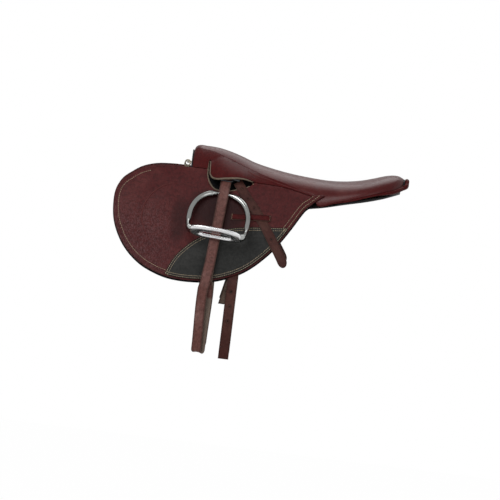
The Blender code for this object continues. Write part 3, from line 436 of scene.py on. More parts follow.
# Cantle back: a strip of the seat's leather that closes it behind the cantle. It is drawn over
# the end of the foam and turned in under the seat's edge.
BACK_ROUND = 9.0
BACK_BULGE = 0.4
BACK_INSET = 1.2
BACK_TURN_IN = 1.5
BACK_REACH = 0.97
back = []
for turn in np.linspace(0, math.pi / 2, 8):
    sink = SEAT_LEATHER + 0.2 + BACK_ROUND * (1 - math.cos(turn))
    set_back = np.array([BACK_BULGE * math.sin(turn) - BACK_INSET, 0, 0])
    back.append([p + set_back for p in arc(SEAT_END_X, across * BACK_REACH * math.pi / 2, sink)])
back.insert(0, [p - np.array([BACK_TURN_IN, 0, 0]) for p in back[0]])
cantle_back = piece("cantle_back", seat_hide, *loft(back))
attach(cantle_back, "saddle")

# Skirts: oxblood leather sewn to the seat along its seam. Each covers the stirrup bar with a
# tongue that stands away from the saddle, with its cut edge left pale.
SKIRT_LEATHER = 3.0
CHEEK_Z = 14.0
SLIT_TOP_Z = 31.0
SLIT_FRONT_X = -113.5
TONGUE_X = -111.0
SKIRT_GAP = 0.3
SEAM_TURN = 0.006
TONGUE_RUN = 36.0
TONGUE_END_X = -14.0
SKIRT_EDGE = [(-108, 2), (-104, -5), (-95, -10.5), (-76, -9.5), (-55, -6), (-34, -4), (-17, -3.5)]
SKIRT_REAR = [(-17, -3.5), (15, -2.6), (40, -3.5), (60, -6), (84, -11), (112, -17)]
WELT_Z = [(-30, 17), (-12, 11), (18, 6.1), (51, -1.5), (84, -8.2), (111, -14.6)]
PALE_EDGE = (0.15, 0.115, 0.085, 1)
# Colour of the painted shade in the grain hollows of the pale cut edge.
EDGE_HOLLOW_SHADE = (0.05, 0.038, 0.026, 1)
LIP_WIDTH = 2.1
LIP_DEPTH = 1.2
WELT_RADIUS = 0.55
BULGE = [(-111, 5), (-104, 11), (-95, 19), (-86, 22.5), (-60, 23), (-35, 18), (-16, 5), (4, 0), (112, 0)]


def skirt_low(x):
    """Height of the skirt's lower edge."""
    if x <= SLIT_FRONT_X - 0.01:
        return CHEEK_Z + SKIRT_GAP
    if x < TONGUE_X - 0.01:
        return SLIT_TOP_Z
    if x < SKIRT_EDGE[0][0]:
        share = (x - TONGUE_X) / (SKIRT_EDGE[0][0] - TONGUE_X)
        return SLIT_TOP_Z + (SKIRT_EDGE[0][1] - SLIT_TOP_Z) * share
    if x <= SKIRT_EDGE[-1][0]:
        return along(SKIRT_EDGE, x)
    return along(SKIRT_REAR, x) + SKIRT_GAP / 2


def tube(spots, radii):
    """Rings of a round cord along a line of points."""
    spots = np.array(spots)
    rings = []
    for p, step, radius in zip(spots, unit(np.gradient(spots, axis=0)), radii):
        up = np.array([0.05, 0, 1.0])
        up = unit(up - step * step.dot(up))
        over = np.cross(step, up)
        rings.append([p + radius * (up * math.cos(a) + over * math.sin(a)) for a in full_turn(16)])
    return rings


def tapered(width, count):
    """Radii of a cord that thins out at both ends."""
    return [width * math.sin(math.pi * min(max(s, 0.03), 0.97)) ** 0.3 for s in np.linspace(0, 1, count)]


def stood_off(side, x, y, z, swell):
    """A point moved away from the saddle, square to the flap."""
    return np.array([x, side * (y + swell * math.cos(FLARE)), z + swell * math.sin(FLARE)])


def skirt_point(x, share, depth, side):
    """Point of the skirt from its seam, at share 0, to its lower edge, at share 1."""
    top = seat_edge(x) + SEAM_TURN + SKIRT_GAP / max(base_half(x), 1)
    end = angle_at(x, skirt_low(x))
    _, y, z = seat_point(x, top + (end - top) * share, depth)
    lift = along(BULGE, x) if x >= TONGUE_X - 0.01 else 0
    start = (angle_at(x, min(SLIT_TOP_Z, along(SEAM_Z, x))) - top) / (end - top)
    start = max(start, 0) * (1 - ease((x - TONGUE_X) / TONGUE_RUN))
    swell = lift * math.sin(math.pi / 2 * min(max((share - start) / max(1 - start, 0.05), 0), 1)) ** 0.8
    return stood_off(side, x, y, z, swell)


slit = [SLIT_FRONT_X - SKIRT_GAP, SLIT_FRONT_X, TONGUE_X - SKIRT_GAP, TONGUE_X]
skirt_xs = sorted(set(np.linspace(POMMEL_X, SKIRT_END_X - SKIRT_GAP, 130).tolist() + slit
                      + np.linspace(TONGUE_X, -92, 24).tolist() + np.linspace(-20, -12, 8).tolist()))
shares = np.linspace(0, 1, 25)
lip_xs = [*np.linspace(TONGUE_X + 0.3, SKIRT_EDGE[0][0], 14),
          *np.linspace(SKIRT_EDGE[0][0], SKIRT_EDGE[-1][0], 60)[1:]]
welt_hide = leather("welt_leather", OXBLOOD_WORN, OXBLOOD_WORN, OXBLOOD, OXBLOOD_WORN, 0.5, 0.4, 0.7)
pale_edge = leather("pale_cut_edge", PALE_EDGE, EDGE_BARE, EDGE_HOLLOW_SHADE, PALE_EDGE, 0.7, 0.8, 0.7)
for side, tag in SIDES:
    rings, rim = [], []
    for x in skirt_xs:
        outer = [skirt_point(x, s, 0, side) for s in shares]
        inner = [skirt_point(x, s, SKIRT_LEATHER, side) for s in shares[::-1]]
        rings.append(outer + inner)
        if TONGUE_X - 0.01 <= x < TONGUE_END_X:
            rim.append((outer[-1] + inner[0]) / 2)
    skirt = piece("skirt_leather_" + tag, oxblood, *loft(rings), rim, rounding=0.4)
    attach(skirt, "saddle")
    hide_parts("skirt_" + tag)
    lip = [skirt_point(x, 1.0, LIP_DEPTH, side) for x in lip_xs]
    tongue_edge = piece("tongue_edge_" + tag, pale_edge, *loft(tube(lip, tapered(LIP_WIDTH, len(lip)))))
    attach(tongue_edge, "saddle")
    welt = []
    for x in np.linspace(WELT_Z[0][0], WELT_Z[-1][0], 90):
        top, end = seat_edge(x), angle_at(x, skirt_low(x))
        share = (angle_at(x, along(WELT_Z, x)) - top) / (end - top)
        welt.append(skirt_point(x, min(max(share, 0.05), 0.95), -0.1, side))
    cord = piece("welt_cord_" + tag, welt_hide, *loft(tube(welt, [WELT_RADIUS] * len(welt))))
    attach(cord, "saddle")

# Flaps: heavy forward-cut oxblood leather, creased and stitched round its edge, with a softly
# raised knee pad marked by one tooled line. Each is sewn under the skirt along its top.
FLAP_LEATHER = 4.0
KNEE_RISE = 1.3
KNEE_END_X = -160.0
KNEE_END_RUN = 45.0
KNEE_PAD_RUN = 24.0
KNEE_FADE_FROM = 40.0
KNEE_FADE_RUN = 60.0
KNEE_RIM_FROM = 6.0
KNEE_RIM_RUN = 22.0
KNEE_RIDGE = (0.9, 0.0, 1.7)
KNEE_GROOVE = (0.7, 3.6, 1.6)
FLANK_X = -34.0
FLANK_RUN = 10.0
TUCK = 2.5
TUCK_FROM_X = -15.0
TUCK_RUN = 0.8
TIP_LIFT = FLAP_LEATHER + SKIRT_GAP
TIP_LIFT_X = 106.0
TIP_LIFT_RUN = 8.0
TIP = [(113, -34), (121, -26.5), (129, -20), (135, -15.8), (137, -13.6), (130, -13.4), (121, -15)]
FLAP_FRONT = [(-183, 14), (-215, 11.5), (-237, 6.5), (-257, -2), (-277, -16.5), (-290, -28),
              (-299, -43), (-303, -63), (-302, -88), (-297, -112), (-287, -136), (-272, -160),
              (-252, -181), (-228, -198), (-200, -210), (-172, -217.5), (-142, -220), (-111, -219),
              (-80, -215), (-50, -206), (-20, -192), (4, -175), (26, -154), (46, -131),
              (63, -106), (78, -82), (90, -61), (101, -44), (113, -34)]
HOLLOW = [(-16, -5), (-21, -11), (-36, -18), (-60, -25.5), (-86, -28), (-99, -23), (-108, -12), (-113.3, 2)]
KNEE_LINE = [(-176, -22), (-206, -34), (-232, -62), (-240, -100), (-226, -136), (-198, -168)]
FRONT_ROW_INSET = 11.0
LOW_ROW_INSET = 5.5
REAR_ROW_INSET = 13.0
TACK = [(-17, -8), (-12, -7)]
SLIT_LIP_WIDTH = 1.8
RIM_CREASE = (0.7, 6.2, 1.1)
THREAD = (0.40, 0.31, 0.20, 1)
# Dark ovals on the flap, part grease and part painted shadow: one inside the iron, one in a hollow left of
# it.
GREASE_AND_SHADOW = [((-0.080, -0.074), (0.070, 0.046), 0.9), ((-0.162, -0.096), (0.020, 0.052), 0.55)]
# Lighter grey on the fold crests at the flap's low front: painted sheen.
PUCKER_SHEEN = (0.15, 0.088, 0.092, 1)


def spline(points, parts):
    """Points of a smooth open curve through the given points."""
    pts = [np.array(p, float) for p in points]
    pts = [2 * pts[0] - pts[1]] + pts + [2 * pts[-1] - pts[-2]]
    line = []
    for a, b, c, d in zip(pts, pts[1:], pts[2:], pts[3:]):
        for k in range(parts):
            u = k / parts
            line.append(0.5 * (2 * b + (c - a) * u + (2 * a - 5 * b + 4 * c - d) * u * u
                               + (3 * b - a - 3 * c + d) * u ** 3))
    return line + [pts[-2]]


def lengths(points):
    """Distance along a line of points, at each of them."""
    return np.concatenate([[0], np.cumsum(np.linalg.norm(np.diff(points, axis=0), axis=1))])


def even(points, gap, closed=False):
    """The same line with points an even gap apart."""
    pts = np.array([*points, points[0]] if closed else points, float)
    runs = lengths(pts)
    count = max(int(round(runs[-1] / gap)), 2)
    marks = np.linspace(0, runs[-1], count + 1)[: count if closed else count + 1]
    return np.stack([np.interp(marks, runs, pts[:, k]) for k in range(2)], axis=1)


def distance(points, loop):
    """Distance from each point to a closed line, and whether the point lies inside it."""
    a = np.asarray(loop, float)
    b = np.roll(a, -1, axis=0)
    best = np.full(len(points), 1e9)
    hit = np.zeros(len(points), bool)
    for p, q in zip(a, b):
        run = q - p
        share = np.clip(((points - p) @ run) / max(run @ run, 1e-9), 0, 1)
        best = np.minimum(best, np.linalg.norm(points - p - share[:, None] * run, axis=1))
        if p[1] != q[1]:
            spans = (p[1] > points[:, 1]) != (q[1] > points[:, 1])
            hit ^= spans & (points[:, 0] < p[0] + (points[:, 1] - p[1]) * run[0] / run[1])
    return best, hit


def room_in(points, loops):
    """Distance from each point to the nearest loop, and whether it is in the first and no other."""
    room, inside = distance(points, loops[0])
    for loop in loops[1:]:
        gap, hit = distance(points, loop)
        room = np.minimum(room, gap)
        inside &= ~hit
    return room, inside


def cut_sheet(outline, lay, thick, step, holes=(), raise_by=None):
    """Points, faces and rim of a sheet cut to an outline, with rounded edges. lay(u, v, n) places it."""
    loops = [np.asarray(outline, float), *[np.asarray(h, float) for h in holes]]
    low, high = loops[0].min(axis=0), loops[0].max(axis=0)
    columns = np.arange(low[0], high[0] + step, step)
    rows = np.arange(low[1], high[1] + step, step * 0.87)
    inner = [(u + (k % 2) * step / 2, v) for k, v in enumerate(rows) for u in columns]
    for loop in loops:
        ahead_of = unit(np.roll(loop, -1, axis=0) - np.roll(loop, 1, axis=0))
        out_of = np.stack([-ahead_of[:, 1], ahead_of[:, 0]], axis=1)
        for inset in (0.07 * thick, 0.25 * thick, 0.5 * thick, 0.5 * thick + step * 0.45):
            inner += (loop + out_of * inset).tolist() + (loop - out_of * inset).tolist()
    inner = np.array(inner)
    room, keep = room_in(inner, loops)
    keep &= room > 0.06 * thick
    coords = [Vector(p) for p in np.concatenate([*loops, inner[keep]])]
    edges = []
    start = 0
    for loop in loops:
        edges += [(start + k, start + (k + 1) % len(loop)) for k in range(len(loop))]
        start += len(loop)
    flat, _, tris, _, _, _ = delaunay_2d_cdt(coords, edges, [], 0, 1e-4)
    flat = np.array([tuple(p) for p in flat])
    tris = np.array([tuple(t) for t in tris])
    tris = tris[room_in(flat[tris].mean(axis=1), loops)[1]]
    room = room_in(flat, loops)[0]
    half = thick / 2
    bulge = half * np.sqrt(np.clip(1 - (1 - np.minimum(room / half, 1)) ** 2, 0, 1))
    raised = raise_by(flat, room) if raise_by else np.zeros(len(flat))
    top, under, verts = {}, {}, []
    for i in np.unique(tris):
        u, v = flat[i]
        top[i] = len(verts)
        verts.append(lay(u, v, bulge[i] - half + raised[i]))
        under[i] = top[i]
        if room[i] > 1e-3:
            under[i] = len(verts)
            verts.append(lay(u, v, -bulge[i] - half))
    faces = [[top[i] for i in t] for t in tris] + [[under[i] for i in reversed(t)] for t in tris]
    rim = [lay(u, v, -half) for loop in loops for u, v in even(loop, 1.0, True)]
    return verts, faces, rim


def on_side(side, base=0.0):
    """Mapping from X, Z and distance out from the flap's face, or from a base on it, into space."""
    def lay(x, z, n):
        n = base + n
        slope = math.atan(math.tan(FLARE) + 2 * EASE * max(z - EASE_FROM_Z, 0))
        return np.array([x, side * (side_y(z) + n * math.cos(slope)), z + n * math.sin(slope)])
    return lay


def stitches(name, rows, lay, finish, pitch=4.2, width=1.1):
    """Rows of waxed thread lying on a surface: each stitch is a small capsule, a little slanted."""
    bpy.ops.object.select_all(action="DESELECT")
    bpy.ops.mesh.primitive_uv_sphere_add(segments=8, ring_count=6, radius=0.5)
    model = bpy.context.object
    shape = np.array([v.co for v in model.data.vertices])
    shape_faces = [list(p.vertices) for p in model.data.polygons]
    bpy.data.objects.remove(model)
    shape = np.sign(shape) * np.abs(shape * 2) ** np.array([0.8, 0.8, 0.6]) / 2
    verts, faces = [], []
    for row, lift in rows:
        marks = even(row, pitch / 2)
        for (u0, v0), (u1, v1) in zip(marks[::2], marks[1::2]):
            um, vm = (u0 + u1) / 2, (v0 + v1) / 2
            centre = lay(um, vm, lift)
            run = unit(lay(u1, v1, lift) - lay(u0, v0, lift))
            out_of = lay(um, vm, lift + 1) - centre
            over = np.cross(out_of, run)
            run = run + over * 0.12
            start = len(verts)
            for a, b, c in shape:
                verts.append(centre + run * c * pitch * 0.8 + over * a * width + out_of * b * width * 0.7)
            faces += [[start + i for i in f] for f in shape_faces]
    return piece(name, finish, verts, faces)


def thread_finish(name, colour):
    """Twisted waxed thread: fine slanting strands and uneven dye."""
    mat, shader, place = new_finish(name)
    strand = place.node("TexWave", {"bands_direction": "DIAGONAL"},
                        {"Vector": place, "Scale": 700.0, "Distortion": 1.0})
    soil = place.noise(220.0, 3.0)
    dull = tuple(c * 0.45 for c in colour[:3]) + (1,)
    (soil.between(0.4, 0.65) * 0.7 + strand * 0.25).mix(colour, dull).feed(shader.inputs["Base Color"])
    (0.75 - 0.1 * strand).feed(shader.inputs["Roughness"])
    strand.emboss(shader, 0.4, 0.0002)
    return mat


tan_thread = thread_finish("tan_thread", THREAD)
knee_line = np.array(spline(KNEE_LINE, 8))
knee_widths = [0.2 + 0.7 * math.sin(math.pi * s) ** 0.5 for s in np.linspace(0, 1, len(knee_line))]
flap_rim = [(POMMEL_X - 1, CHEEK_Z)] + spline(FLAP_FRONT, 6) + spline(TIP, 4)[1:]
flap_rim += [(x, along(SKIRT_REAR, x) + TUCK) for x in range(112, -13, -6)]
flap_rim += spline(HOLLOW, 6) + [(SLIT_FRONT_X, CHEEK_Z), (SLIT_FRONT_X - 0.6, CHEEK_Z + TUCK)]
flap_rim += [(POMMEL_X + 1, CHEEK_Z + TUCK)]
flap_rim = even(flap_rim, 2.5, True)
free_edge = even(spline(FLAP_FRONT + TIP[1:4], 6), 1.0)


def inset_line(points, amount):
    """A line moved sideways, to the right of its run for a positive amount."""
    pts = np.array(points, float)
    run = unit(np.gradient(pts, axis=0))
    return pts + amount * np.stack([run[:, 1], -run[:, 0]], axis=1)


def hump(places, height, middle, width):
    """A smooth rise of that height and width round the middle."""
    return height * np.exp(-((places - middle) / width) ** 2)


def knee_swell(points, room):
    """Raised front of the flap: a soft pad that ends in a tooled ridge along one curved line."""
    gap = np.min(np.linalg.norm(points[:, None] - knee_line[None], axis=2), axis=1)
    rim_gap = np.min(np.linalg.norm(points[:, None] - free_edge[None, ::4], axis=2), axis=1)
    far = ease(gap / KNEE_PAD_RUN) * (1 - ease((gap - KNEE_FADE_FROM) / KNEE_FADE_RUN))
    far = far * ease((KNEE_END_X - points[:, 0]) / KNEE_END_RUN)
    ridge = hump(gap, *KNEE_RIDGE) - hump(gap, *KNEE_GROOVE)
    pad = KNEE_RISE * far * ease((room - KNEE_RIM_FROM) / KNEE_RIM_RUN)
    return pad + ridge - hump(rim_gap, *RIM_CREASE)


def flap_lay(side):
    """Like on_side, but above the seat's base line it follows the seat's flank behind the tongue."""
    plain = on_side(side)

    def lay(x, z, n):
        n += TIP_LIFT * ease((x - TIP_LIFT_X) / TIP_LIFT_RUN)
        if POMMEL_X < x < SLIT_FRONT_X or TUCK_FROM_X < x < SKIRT_END_X:
            n -= (SKIRT_LEATHER + SKIRT_GAP) * ease((z - skirt_low(x) + TUCK_RUN) / TUCK_RUN)
        p = plain(x, z, n)
        base = along(BASE_Z, x)
        if x > FLANK_X and z > base:
            _, y, height = seat_point(x, angle_at(x, z), -n)
            swell = along(BULGE, x) * min((z - base) / max(skirt_low(x) - base, 1), 1)
            p = p + (stood_off(side, x, y, height, swell) - p) * ease((x - FLANK_X) / FLANK_RUN)
        return p
    return lay


flap_hide = leather("flap_leather", OXBLOOD, OXBLOOD_WORN, OXBLOOD_DARK, OXBLOOD_DARK, 0.5, 1.4, 2.2,
                    crease=0.0066, stains_and_shadows=GREASE_AND_SHADOW, rim_width=0.0050, rim_dark=0.35, pucker_sheen=PUCKER_SHEEN)
flap_rows = [(inset_line(spline(FLAP_FRONT[2:16], 6), -FRONT_ROW_INSET), 0.35),
             (inset_line(spline(FLAP_FRONT[24:] + TIP[1:3], 6), -LOW_ROW_INSET), 0.15),
             (inset_line(spline(FLAP_FRONT[-5:] + TIP[1:2], 6), -REAR_ROW_INSET), 0.15), (TACK, 0.3)]
for side, tag in SIDES:
    lay = flap_lay(side)
    verts, faces, _ = cut_sheet(flap_rim, lay, FLAP_LEATHER, 4.0, raise_by=knee_swell)
    rim = [lay(x, z, -FLAP_LEATHER / 2) for x, z in free_edge]
    flap = piece("flap_leather_" + tag, flap_hide, verts, faces, rim)
    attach(flap, "saddle")
    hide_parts("flap_" + tag)
    flap_thread = stitches("flap_stitching_" + tag, flap_rows, lay, tan_thread)
    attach(flap_thread, "saddle")
    ridge = [lay(x, z, 0.5) for x, z in knee_line]
    knee_cord = piece("knee_line_" + tag, welt_hide, *loft(tube(ridge, knee_widths)))
    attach(knee_cord, "saddle")
    lip = [skirt_point(SLIT_FRONT_X - SKIRT_GAP, s, 1.0, side) for s in np.linspace(0.55, 1, 8)]
    lip += [lay(x, z, -1.0) for x, z in even([(SLIT_FRONT_X, CHEEK_Z), *spline(HOLLOW, 6)[:6:-1]], 2.5)]
    slit_edge = piece("slit_edge_" + tag, pale_edge, *loft(tube(lip, tapered(SLIT_LIP_WIDTH, len(lip)))))
    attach(slit_edge, "saddle")

# Sweat flaps: thin black leather behind each flap. On the slope they hang lower than it, so that a
# dark rim shows below. Each is sewn to the panel, and keeps the girth straps off the horse.
GIRTH_STRAP_THICK = 3.2
GIRTH_N = -FLAP_LEATHER - 1.2
SHORT_N = GIRTH_N - GIRTH_STRAP_THICK - 1.0
WEB_N = SHORT_N - GIRTH_STRAP_THICK - SKIRT_GAP
SWEAT_N = WEB_N - 2.1
SWEAT_LEATHER = 2.5
SWEAT_SHORT = 1.0
SWEAT_SHORT_Z = -100.0
SWEAT_SHORT_RUN = 90.0
SWEAT_TOP_Z = -30.0
BLACK = (0.012, 0.0115, 0.0125, 1)
BLACK_WORN = (0.04, 0.036, 0.036, 1)
BLACK_DARK = (0.004, 0.004, 0.0045, 1)
BLACK_EDGE = (0.03, 0.026, 0.024, 1)
black = leather("black_leather", BLACK, BLACK_WORN, BLACK_DARK, BLACK_EDGE, 0.48, 0.9, 1.5)
front = [p for p in spline(FLAP_FRONT, 6) if p[1] < SWEAT_TOP_Z]
sweat_rim = [p + np.array([0, SWEAT_SHORT * ease((SWEAT_SHORT_Z - p[1]) / SWEAT_SHORT_RUN)]) for p in front]
sweat_rim = even(sweat_rim, 3.0, True)
for side, tag in SIDES:
    sheet = cut_sheet(sweat_rim, on_side(side, SWEAT_N), SWEAT_LEATHER, 6.0)
    sweat = piece("sweat_leather_" + tag, black, *sheet)
    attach(sweat, "saddle")
    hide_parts("sweat_flap_" + tag)

# Knee rolls: slim rolls of black leather, stuffed with flock and sewn up. Each lies between flap
# and sweat flap, in front of the knee.
ROLL_LINE = [(-208, -66), (-238, -74), (-256, -98), (-250, -130), (-228, -160), (-196, -180)]
ROLL_WIDTH = 33.0
ROLL_N = SWEAT_N + 0.3
ROLL_DEPTH = -FLAP_LEATHER - 0.3 - ROLL_N
roll_line = even(spline(ROLL_LINE, 8), 4.0)
for side, tag in SIDES:
    lay = on_side(side, ROLL_N)
    rings = []
    for k, (p, run) in enumerate(zip(roll_line, unit(np.gradient(roll_line, axis=0)))):
        over = np.array([-run[1], run[0]])
        share = min(max(k / (len(roll_line) - 1), 0.04), 0.96)
        full = min(1, 0.35 + 0.65 * math.sin(math.pi * share) ** 0.4)
        ring = []
        for turn in full_turn(16):
            spot = p + over * math.cos(turn) * ROLL_WIDTH / 2 * full
            rise = 0.5 + 0.46 * full * math.copysign(abs(math.sin(turn)) ** 0.7, math.sin(turn))
            ring.append(lay(*spot, ROLL_DEPTH * rise))
        rings.append(ring)
    knee = piece("knee_pad_" + tag, black, *loft(rings))
    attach(knee, "saddle")
    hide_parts("knee_roll_" + tag)

# Wear panels: thin charcoal leather sewn on the flap where the rider's leg and the iron rub it,
# with two rows of tan thread round it.
WEAR_LEATHER = 1.0
WEAR_N = 0.3
WEAR_LEFT = [(-177.5, -212), (-168, -189), (-157, -170), (-142, -153), (-127, -139), (-110, -127)]
WEAR_TOP = [(-80, -113), (-45, -102), (-9, -96), (30, -92), (66, -88.5)]
WEAR_LOW_Z = -91.0
WEAR_INSET = 2.4
WEAR_ROWS = (2.2, 6.5)
CHARCOAL = (0.021, 0.0215, 0.0205, 1)
CHARCOAL_WORN = (0.044, 0.043, 0.041, 1)
CHARCOAL_DARK = (0.007, 0.007, 0.007, 1)
charcoal = leather("charcoal_leather", CHARCOAL, CHARCOAL_WORN, CHARCOAL_DARK, CHARCOAL_DARK, 0.62, 1.2, 1.7)
low = inset_line(spline(FLAP_FRONT, 6), -WEAR_INSET)
low = [p for p in low if p[1] < WEAR_LOW_Z and p[0] > WEAR_LEFT[0][0] + 4]
wear_rim = even([*spline(WEAR_LEFT, 6), *spline(WEAR_TOP, 6), *low[::-1]], 2.5, True)
around = [*wear_rim, wear_rim[0]]
wear_rows = [(inset_line(around, inset), WEAR_N + WEAR_LEATHER) for inset in WEAR_ROWS]
for side, tag in SIDES:
    sheet = cut_sheet(wear_rim, on_side(side, WEAR_N + WEAR_LEATHER), WEAR_LEATHER, 5.0)
    wear = piece("wear_leather_" + tag, charcoal, *sheet)
    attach(wear, "saddle")
    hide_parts("wear_panel_" + tag)
    wear_thread = stitches("wear_stitching_" + tag, wear_rows, on_side(side), tan_thread)
    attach(wear_thread, "saddle")

# Bar pockets: a sheet of near-black leather behind each stirrup bar. It is painted shade that darkens the
# hollow seen through the slit under the skirt.
# Outline of the dark sheet behind the slit, painted shade of the hollow.
SLIT_SHADE_RIM = [(-118, -34), (-12, -34), (-14, -3), (-34, 9), (-60, 18), (-98, 22), (-105, 34), (-118, 34)]
SLIT_SHADE_N = -9.0
SLIT_SHADE_THICK = 1.5
slit_shade_hide = leather("slit_shade_leather", BLACK_DARK, BLACK, BLACK_DARK, BLACK_DARK, 0.8, 0.8, 1.4)
for side, tag in SIDES:
    sheet = cut_sheet(even(SLIT_SHADE_RIM, 3.0, True)[::-1], on_side(side, SLIT_SHADE_N), SLIT_SHADE_THICK, 6.0)
    slit_shade_sheet = piece("bar_slit_shade_" + tag, slit_shade_hide, *sheet)
    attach(slit_shade_sheet, "saddle")

# Leather tails: the free end of each stirrup leather, punched and pointed, which lies back over
# the flap under a keeper, a short band of oxblood leather sewn down at both ends.
TAIL_LINE = [(-49, -6), (-24, -38), (-3, -62), (20, -93), (46, -132), (61, -155), (70, -172)]
TAIL_WIDTH = 20.0
TAIL_THICK = 2.5
TAIL_TIP = 14.0
TAIL_HOLES = (18, 42, 66, 140)
TAIL_HOLE = 3.0
TAIL_RISE_Z = -83.0
TAIL_RISE = 1.3
TAIL_RISE_RUN = 7.0
KEEPER_ENDS = [(-54, -79), (30, -74)]
KEEPER_WIDTH = 13.0
KEEPER_THICK = 1.8
KEEPER_ARCH_X = 7.0
KEEPER_ARCH_HALF = 23.0
KEEPER_ARCH_RUN = 7.0
KEEPER_END_STITCH = 2.2
STRAP = (0.046, 0.0135, 0.0105, 1)
STRAP_WORN = (0.10, 0.044, 0.034, 1)
STRAP_DARK = (0.012, 0.005, 0.004, 1)
STRAP_EDGE = (0.14, 0.095, 0.07, 1)
strap = leather("strap_leather", STRAP, STRAP_WORN, STRAP_DARK, STRAP_EDGE, 0.5, 0.8, 1.2, crease=0.0030,
                rim_width=0.0022)


def ribbon(points):
    """Mapping from across and along a line of points to the plane, and the line's length."""
    line = even(points, 1.0)
    runs = unit(np.gradient(line, axis=0))

    def at(u, v):
        v = min(max(v, 0), len(line) - 1)
        i = min(int(v), len(line) - 2)
        p = line[i] + (line[i + 1] - line[i]) * (v - i)
        run = runs[i] + (runs[i + 1] - runs[i]) * (v - i)
        return p + u * np.array([-run[1], run[0]])
    return at, len(line) - 1


def strap_outline(length, half, tip):
    """Outline of a strap from 0 to its length, with a rounded point at the far end."""
    turns = np.linspace(0, math.pi, 17)
    end = [(half * math.cos(a), length - tip + tip * math.sin(a)) for a in turns]
    return even([(-half, 0), (half, 0), *end], 2.0, True)


def oblong(low_u, high_u, low_v, high_v, gap):
    """Outline of a plain band."""
    return even([(low_u, low_v), (high_u, low_v), (high_u, high_v), (low_u, high_v)], gap, True)


def punched(centre, dia):
    """Outline of a round hole."""
    return [(centre[0] + dia / 2 * math.cos(a), centre[1] + dia / 2 * math.sin(a)) for a in full_turn(14)]


tail_at, tail_length = ribbon(spline(TAIL_LINE, 8))
tail_rim = strap_outline(tail_length, TAIL_WIDTH / 2, TAIL_TIP)
(keep_x0, keep_z0), (keep_x1, keep_z1) = KEEPER_ENDS
for side, tag in SIDES:
    lay = on_side(side)

    def lie(u, v, n):
        x, z = tail_at(u, v)
        rise = SKIRT_GAP + TAIL_RISE * ease((TAIL_RISE_Z - z) / TAIL_RISE_RUN)
        return lay(x, z, rise + TAIL_THICK + n)

    def bridge(x, v, n):
        z = keep_z0 + (keep_z1 - keep_z0) * (x - keep_x0) / (keep_x1 - keep_x0) + v
        arch = ease((KEEPER_ARCH_HALF - abs(x - KEEPER_ARCH_X + 0.8 * v)) / KEEPER_ARCH_RUN)
        return lay(x, z, SKIRT_GAP + (TAIL_THICK + SKIRT_GAP) * arch + KEEPER_THICK + n)

    holes = [punched((0, v), TAIL_HOLE) for v in TAIL_HOLES]
    tail = piece("tail_leather_" + tag, strap, *cut_sheet(tail_rim, lie, TAIL_THICK, 3.0, holes))
    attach(tail, "saddle")
    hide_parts("leather_tail_" + tag)
    half = KEEPER_WIDTH / 2
    band = oblong(keep_x0, keep_x1, -half, half, 2.0)
    keeper = piece("keeper_leather_" + tag, oxblood, *cut_sheet(band, bridge, KEEPER_THICK, 2.5))
    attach(keeper, "saddle")
    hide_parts("keeper_" + tag)
    ends = [([(x, -half + 1.6), (x, half - 1.6)], 0.0)
            for x in (keep_x0 + KEEPER_END_STITCH, keep_x1 - KEEPER_END_STITCH)]
    keeper_thread = stitches("keeper_stitching_" + tag, ends, bridge, tan_thread, pitch=3.0, width=0.7)
    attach(keeper_thread, "saddle")

# Girth straps: brown strap leather riveted to linen web under the flap. The long one is punched
# for a girth buckle, and the short one hangs behind it with its rough side out.
RIVET_X = -34.0
RIVET_T = 68.0
GIRTH_WIDTH = 22.0
GIRTH_END_Z = -376.0
SHORT_END_Z = -262.0
SHORT_LEAN = math.radians(1.0)
SHORT_KICK = 0.21
KICK_T = 224.0
STRAP_TOP = 12.0
STRAP_CORNER = 6.0
RIVET_HOLE = 5.8
GIRTH_HOLE = 4.5
GIRTH_BEND_T = 226.0
BEND_RADIUS = 45.0
BEND_STEPS = 8
GIRTH_HOLES = (-234.0, -265.0, -296.0)
FLESH = (0.075, 0.050, 0.038, 1)
FLESH_WORN = (0.13, 0.095, 0.075, 1)
flesh = leather("flesh_side", FLESH, FLESH_WORN, STRAP_DARK, STRAP_EDGE, 0.8, 1.6, 0.8)


def on_slope(side, x, t, n):
    """Point at X, distance t down the flat slope and distance n out from it."""
    y = SIDE_HALF + t * math.sin(FLARE) + n * math.cos(FLARE)
    return np.array([x, side * y, n * math.sin(FLARE) - t * math.cos(FLARE)])


def hanging_line(bend_t, end_z, n):
    """Points down the slope at distance n, bending to plumb at bend_t and ending at a height."""
    pts = [(t, n) for t in (0.0, bend_t)]
    for a in np.linspace(0, FLARE, BEND_STEPS + 1)[1:]:
        pts.append((bend_t + BEND_RADIUS * math.sin(a), n - BEND_RADIUS * (1 - math.cos(a))))
    t, m = pts[-1]
    rest = (m * math.sin(FLARE) - t * math.cos(FLARE)) - end_z
    pts.append((t + rest * math.cos(FLARE), m - rest * math.sin(FLARE)))
    return np.array(pts)


